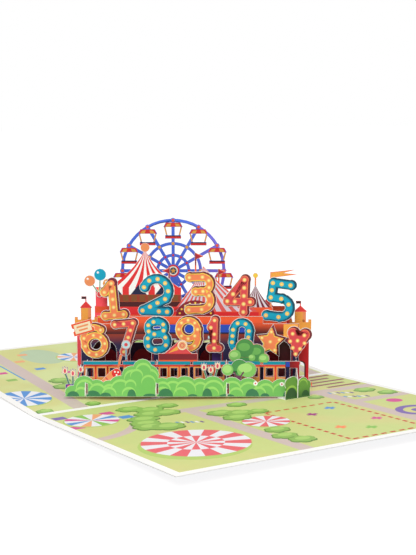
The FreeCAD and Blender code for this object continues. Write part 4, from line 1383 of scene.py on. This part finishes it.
class CARD_OT_castle(CardOperator):
    """Prints the castle and the balloons"""

    bl_idname = "card.castle"
    bl_label = "Castle"

    def make(self):
        castle = Plate("castle", "castle_red", slot_top=21.5)
        self.tower(castle, -61.0, 6.6, 43.6, 3.0, 49.0, 53.0)
        self.tower(castle, 62.4, 6.4, 42.2, 3.3, 46.8, 50.4)
        castle.over = 1
        castle.block("castle_amber", 39.9, 46.1, 46.6, 50.3)
        castle.block("castle_amber", -54.0, -50.0, 56.5, 60.7)
        castle.block("band_red", -55.6, 57.0, 46.0, 49.7)
        castle.shape("castle_cap", [(40.2, 50.7), (45.8, 50.7), (43.0, 53.9)])
        # Painted shade: a dark strip down each side of every arch.
        for x in BAYS:
            for side in (-1, 1):
                castle.block("maroon", *sorted((x + side * 6.4, x + side * 7.2)), 9.0, 24.0)
        # The right wall, darkening into painted shade towards the numerals.
        castle.tinted("wall_red", 56.0, 67.5, FOOT, 35.0)
        castle.block("band_red", 67.2, 69.6, 3.4, 5.0)
        castle.over = 2
        castle.ring("hub_cream", 53.4, 44.4, 2.45, 1.2, sides=20)
        castle.over = 3
        castle.block("castle_deep", 62.8 - 3.0, 62.8 - 2.25, 8.4, 15.0)
        castle.block("castle_deep", 62.8 + 2.25, 62.8 + 3.0, 8.4, 15.0)
        head = bmesh.new()
        flat_arc(head, 62.8, 15.0, 2.62, 0.74, 0, 180)
        castle.region("castle_deep", head)
        castle.finish()
        self.balloons()

    def tower(self, castle, x, half, parapet, turret, turret_top, cap_top):
        castle.over = 1
        castle.block("castle_amber", x - half + 0.2, x + half - 0.2, parapet - 6.8, parapet - 1.7)
        merlon = 2 * half / 7
        castle.over = 2
        for number in range(0, 7, 2):
            left = x - half + number * merlon
            castle.block("castle_amber", left + 0.2, left + merlon - 0.2, parapet - 2.0, parapet - 0.2)
        castle.block("finial", x - turret + 0.2, x + turret - 0.2, parapet - 1.6, turret_top - 0.2)
        castle.over = 3
        castle.block("castle_amber", x - turret + 0.2, x + 0.4 * turret, parapet - 1.5, turret_top - 0.3)
        castle.shape("castle_cap", [(x - turret - 0.1, turret_top + 0.1), (x + turret + 0.1, turret_top + 0.1),
                                    (x, cap_top - 0.4)])
        castle.block("dark", x - 2.4, x + 0.2, cap_top + 1.1, cap_top + 2.4)

    def balloons(self):
        bunch = Plate("balloons", "tent_white")
        knot = (-53.0, 56.8)
        bunch.over = 1
        for x, up, radius, name in ((-5.6, 64.6, 3.3, "finial"), (0.4, 68.2, 3.6, "face_teal"),
                                    (4.6, 63.0, 2.9, "castle_amber")):
            place = (knot[0] + x, up)
            bunch.bar("leaf_dark", place, knot, 0.5)
            bunch.over += 1
            bunch.disc(name, place[0], place[1], radius - 0.25)
            bunch.over += 1
            bunch.disc("tent_white", place[0] - radius * 0.35, place[1] + radius * 0.35, radius * 0.2, sides=10)
            bunch.over -= 1
        bunch.over = 6
        bunch.disc("face_red", knot[0], knot[1], 1.5, sides=14)
        bunch.finish()


class CARD_OT_wheel(CardOperator):
    """Prints the observation wheel and its cabins"""

    bl_idname = "card.wheel"
    bl_label = "Wheel"

    def make(self):
        x = -11.1
        up = 68.6
        rim = 29.6
        wheel = Plate("wheel", "wheel_blue", slot_top=16.2)
        wheel.over = 1
        # Painted shade: the foot of the wheel's sheet, seen through the arcades, is printed dark.
        wheel.block("arcade_shade", -60.5, 60.5, FOOT + 0.2, 25.8)
        wheel.over = 2
        # Dark arches in painted shade, seen through the arcades in front, each with a coloured block inside.
        for number, bay in enumerate(BAYS):
            wheel.over = 2
            wheel.disc("maroon", bay, 15.0, 5.6, low=9.0, tall=1.3)
            wheel.over = 3
            wheel.block("petal_purple" if number % 2 else "band_blue", bay - 3.6, bay + 3.6, 9.2, 13.0)
        for number in range(12):
            angle = 2 * pi * number / 12
            tip = (x + rim * cos(angle), up + rim * sin(angle))
            wheel.over = 1
            roof = [(tip[0] - 5.2, tip[1] - 3.8), (tip[0] - 4.0, tip[1] - 1.4), (tip[0] + 4.0, tip[1] - 1.4),
                    (tip[0] + 5.2, tip[1] - 3.8)]
            wheel.shape("cabin_red", roof)
            for side in (-1, 1):
                wheel.bar("cabin_amber", (tip[0] + side * 4.8, tip[1] - 4.2), (tip[0] + side * 3.7, tip[1] - 8.6),
                          0.74)
            wheel.block("cabin_red", tip[0] - 4.5, tip[0] + 4.5, tip[1] - 10.6, tip[1] - 9.3)
            wheel.over = 2
            for side in (-1, 1):
                wheel.shape("cabin_amber", [(tip[0] + side * 4.3, tip[1] - 3.8), (tip[0] + side * 3.3, tip[1] - 2.2),
                                            (tip[0] + side * 1.1, tip[1] - 1.8), (tip[0] + side * 1.7, tip[1] - 3.8)])
            wheel.block("dark", tip[0] - 4.4, tip[0] + 4.4, tip[1] - 9.5, tip[1] - 8.9)
            wheel.disc("wheel_dot", tip[0], tip[1], 0.9, sides=14)
            wheel.disc("cabin_amber", x + 0.54 * rim * cos(angle), up + 0.54 * rim * sin(angle), 0.95, sides=12)
            wheel.disc("cabin_red", x + 0.31 * rim * cos(angle), up + 0.31 * rim * sin(angle), 0.7, sides=10)
        wheel.over = 3
        wheel.disc("cabin_red", x, up, 3.6, sides=24)
        wheel.over = 4
        wheel.disc("hub_cream", x, up, 2.7, sides=24)
        wheel.over = 5
        wheel.disc("side_teal", x, up, 2.0, sides=20)
        wheel.over = 6
        star = []
        for number in range(10):
            reach = 1.7 if number % 2 == 0 else 0.8
            star.append((x + reach * sin(number * pi / 5), up + reach * cos(number * pi / 5)))
        wheel.shape("cabin_amber", star)
        wheel.finish()


def strokes(sign, w, h):
    """Centre lines of a numeral in a box of w by h, as lines and arcs."""
    r = w / 2
    low = 0.28 * h
    top = 0.22 * h
    side = 0.08 * w
    end = radians(-38)
    drawn = {
        "1": [("line", 0.16 * w, 0.74 * h, r, h), ("line", r, h, r, 0), ("line", 0.1 * w, 0, 0.9 * w, 0)],
        "2": [("arc", r, h - r, r, 165, -38),
              ("line", r + r * cos(end), h - r + r * sin(end), 0, 0), ("line", 0, 0, w, 0)],
        "3": [("line", side, h, w - top, h), ("arc", w - top, h - top, top, 90, -90),
              ("line", w - top, h - 2 * top, 0.34 * w, h - 2 * top), ("arc", w - low, low, low, 90, -90),
              ("line", w - low, 0, 0, 0)],
        "4": [("line", 0.72 * w, 0, 0.72 * w, h), ("line", 0.72 * w, h, 0, 0.32 * h),
              ("line", 0, 0.32 * h, w, 0.32 * h)],
        "5": [("line", 0.9 * w, h, 0.1 * w, h), ("line", 0.1 * w, h, 0.1 * w, 2 * low),
              ("line", 0.1 * w, 2 * low, w - low, 2 * low), ("arc", w - low, low, low, 90, -90),
              ("line", w - low, 0, 0, 0)],
        "6": [("arc", r, h - r, r, 38, 180), ("line", 0, h - r, 0, r), ("arc", r, r, r, 180, 540)],
        "7": [("line", 0, h, w, h), ("line", w, h, 0.36 * w, 0)],
        "8": [("arc", low, low, low, 90, 270), ("line", low, 0, w - low, 0),
              ("arc", w - low, low, low, -90, 90), ("line", w - low, 2 * low, low, 2 * low),
              ("arc", side + top, h - top, top, 90, 270), ("line", side + top, h, w - side - top, h),
              ("arc", w - side - top, h - top, top, 90, -90)],
        "9": [("arc", r, h - r, r, 0, 360), ("line", w, h - r, w, r), ("arc", r, r, r, 0, -142)],
        "0": [("arc", r, h - r, r, 0, 180), ("line", 0, h - r, 0, r), ("arc", r, r, r, 180, 360),
              ("line", w, r, w, h - r)],
    }
    return drawn[sign]


def bulb_places(sign, w, h, pitch):
    """Places along a numeral's centre lines, an even pitch apart and none too near another."""
    places = []
    for kind, *line in strokes(sign, w, h):
        if kind == "line":
            run = hypot(line[2] - line[0], line[3] - line[1])
        else:
            run = abs(radians(line[4] - line[3])) * line[2]
        count = max(1, round(run / pitch))
        for number in range(count + 1):
            share = number / count
            if kind == "line":
                place = (line[0] + (line[2] - line[0]) * share, line[1] + (line[3] - line[1]) * share)
            else:
                angle = radians(line[3] + (line[4] - line[3]) * share)
                place = (line[0] + line[2] * cos(angle), line[1] + line[2] * sin(angle))
            if all(hypot(place[0] - x, place[1] - y) > 0.78 * pitch for x, y in places):
                places.append(place)
    return places


# node, sign, x of its middle, height of its middle, width, height, stroke, lean in degrees, hue
SIGNS = (
    ("upper_numeral_1", "1", -44.4, 55.2, 19.0, 24.4, 6.0, 5.0, "orange"),
    ("upper_numeral_2", "2", -20.0, 57.6, 20.0, 24.6, 6.0, -3.0, "teal"),
    ("upper_numeral_3", "3", 4.8, 58.6, 18.6, 24.6, 6.0, 2.0, "orange"),
    ("upper_numeral_4", "4", 27.4, 57.2, 19.0, 24.6, 6.0, -2.0, "red"),
    ("upper_numeral_5", "5", 50.4, 54.4, 18.6, 25.0, 6.0, -8.0, "teal"),
    ("lower_numeral_6", "6", -54.6, 32.4, 16.6, 21.2, 5.4, 8.0, "orange"),
    ("lower_numeral_7", "7", -37.2, 34.2, 15.6, 21.4, 5.4, 5.0, "red"),
    ("lower_numeral_8", "8", -19.4, 35.4, 16.6, 21.4, 5.4, 3.0, "teal"),
    ("lower_numeral_9", "9", -1.4, 36.2, 16.0, 21.6, 5.4, 0.0, "orange"),
    ("lower_numeral_1", "1", 13.4, 36.2, 11.4, 21.4, 5.4, -1.0, "red"),
    ("lower_numeral_0", "0", 28.2, 34.8, 14.4, 21.6, 5.4, -5.0, "teal"),
    ("lower_star", "star", 45.2, 32.6, 18.6, 19.0, 5.4, -6.0, "orange"),
    ("lower_heart", "heart", 60.4, 31.0, 14.6, 18.6, 5.4, -8.0, "red"),
)

HUES = {
    "orange": ("side_maroon", "edge_yellow", "face_orange", "bulb_orange"),
    "red": ("side_maroon", "edge_orange", "face_red", "bulb_red"),
    "teal": ("side_teal", "edge_teal", "face_teal", "bulb_teal"),
}


class CARD_OT_numerals(CardOperator):
    """Prints the two rows of numerals, the star, the heart and the ticket"""

    bl_idname = "card.numerals"
    bl_label = "Numerals"

    def make(self):
        for sign in SIGNS:
            self.sign(*sign)
        self.ticket()

    def sign(self, node, sign, x, up, w, h, stroke, lean, hue):
        side, edging, face, bulb = HUES[hue]
        plate_rim = sizes().rim / MM
        plate = Plate(node, side, rim=plate_rim)
        right = sizes().shade_right / MM
        high = sizes().shade_up / MM
        narrow = plate_rim + right / 2
        lean = radians(lean)
        place = (Matrix.Translation((x, 0, up)) @ Matrix.Rotation(-lean, 4, "Y")
                 @ Matrix.Translation((-w / 2 - right / 2, 0, -h / 2 - high / 2)))
        for name, thinner in ((edging, narrow), (face, narrow + sizes().edging / MM)):
            plate.over += 1
            outline = sign_outline(sign, w, h, stroke, thinner)
            outline.transform(place)
            plate.region(name, outline)
        plate.over += 1
        pitch = sizes().bulb_pitch / MM * (1.0 if stroke > 5.5 else 0.88)
        for across, above in self.bulbs(sign, w, h, stroke, pitch):
            centre = place @ Vector((across, 0, above))
            plate.bulb(bulb, centre.x, centre.z, 0.27 * stroke)
        plate.finish()

    def bulbs(self, sign, w, h, stroke, pitch):
        """Bulb places measured from the sign's lower left corner."""
        if sign == "star":
            places = [(w / 2, 0.46 * h)]
            for number in range(5):
                angle = pi / 2 + number * 2 * pi / 5
                places.append((w / 2 * (1 + 0.56 * cos(angle)), 0.46 * h + 0.30 * h * sin(angle)))
            return places
        if sign == "heart":
            return [(0.27 * w, 0.77 * h), (0.73 * w, 0.77 * h), (0.22 * w, 0.53 * h), (0.78 * w, 0.53 * h),
                    (0.5 * w, 0.58 * h), (0.36 * w, 0.34 * h), (0.64 * w, 0.34 * h), (0.5 * w, 0.16 * h)]
        return [(x + stroke / 2, up + stroke / 2)
                for x, up in bulb_places(sign, w - stroke, h - stroke, pitch)]

    def ticket(self):
        ticket = Plate("ticket", "band_red")
        ticket.over = 1
        middle = (-61.5, 39.8)
        lean = radians(16)

        def turned(points):
            return [(middle[0] + x * cos(lean) - up * sin(lean), middle[1] + x * sin(lean) + up * cos(lean))
                    for x, up in points]

        ticket.shape("petal_cream", turned([(-4.8, -2.6), (4.8, -2.6), (4.8, 2.6), (-4.8, 2.6)]))
        ticket.over = 2
        for low, high, half in ((0.5, 1.5, 3.4), (-1.5, -0.5, 2.6)):
            ticket.shape("finial", turned([(-half, low), (half, low), (half, high), (-half, high)]))
        ticket.finish()


class CARD_PT_steps(bpy.types.Panel):
    """The steps that make the card"""

    bl_label = "Pop-up card"
    bl_idname = "CARD_PT_steps"
    bl_space_type = "VIEW_3D"
    bl_region_type = "UI"
    bl_category = "Card"

    def draw(self, context):
        for step in STEPS:
            self.layout.operator(step.bl_idname)
        for group in (context.scene.card_sizes, context.scene.card_inks):
            box = self.layout.box()
            for name in group.__annotations__:
                box.prop(group, name)


STEPS = (CARD_OT_stage, CARD_OT_card, CARD_OT_ground, CARD_OT_garden, CARD_OT_train, CARD_OT_station,
         CARD_OT_tents, CARD_OT_castle, CARD_OT_wheel, CARD_OT_numerals)
CLASSES = (CardSizes, CardInks, *STEPS, CARD_PT_steps)


def register():
    for kind in CLASSES:
        bpy.utils.register_class(kind)
    bpy.types.Scene.card_sizes = bpy.props.PointerProperty(type=CardSizes)
    bpy.types.Scene.card_inks = bpy.props.PointerProperty(type=CardInks)


def unregister():
    del bpy.types.Scene.card_inks
    del bpy.types.Scene.card_sizes
    for kind in reversed(CLASSES):
        bpy.utils.unregister_class(kind)


def main():
    register()
    for step in STEPS:
        group, name = step.bl_idname.split(".")
        getattr(getattr(bpy.ops, group), name)()


if __name__ == "__main__":
    main()
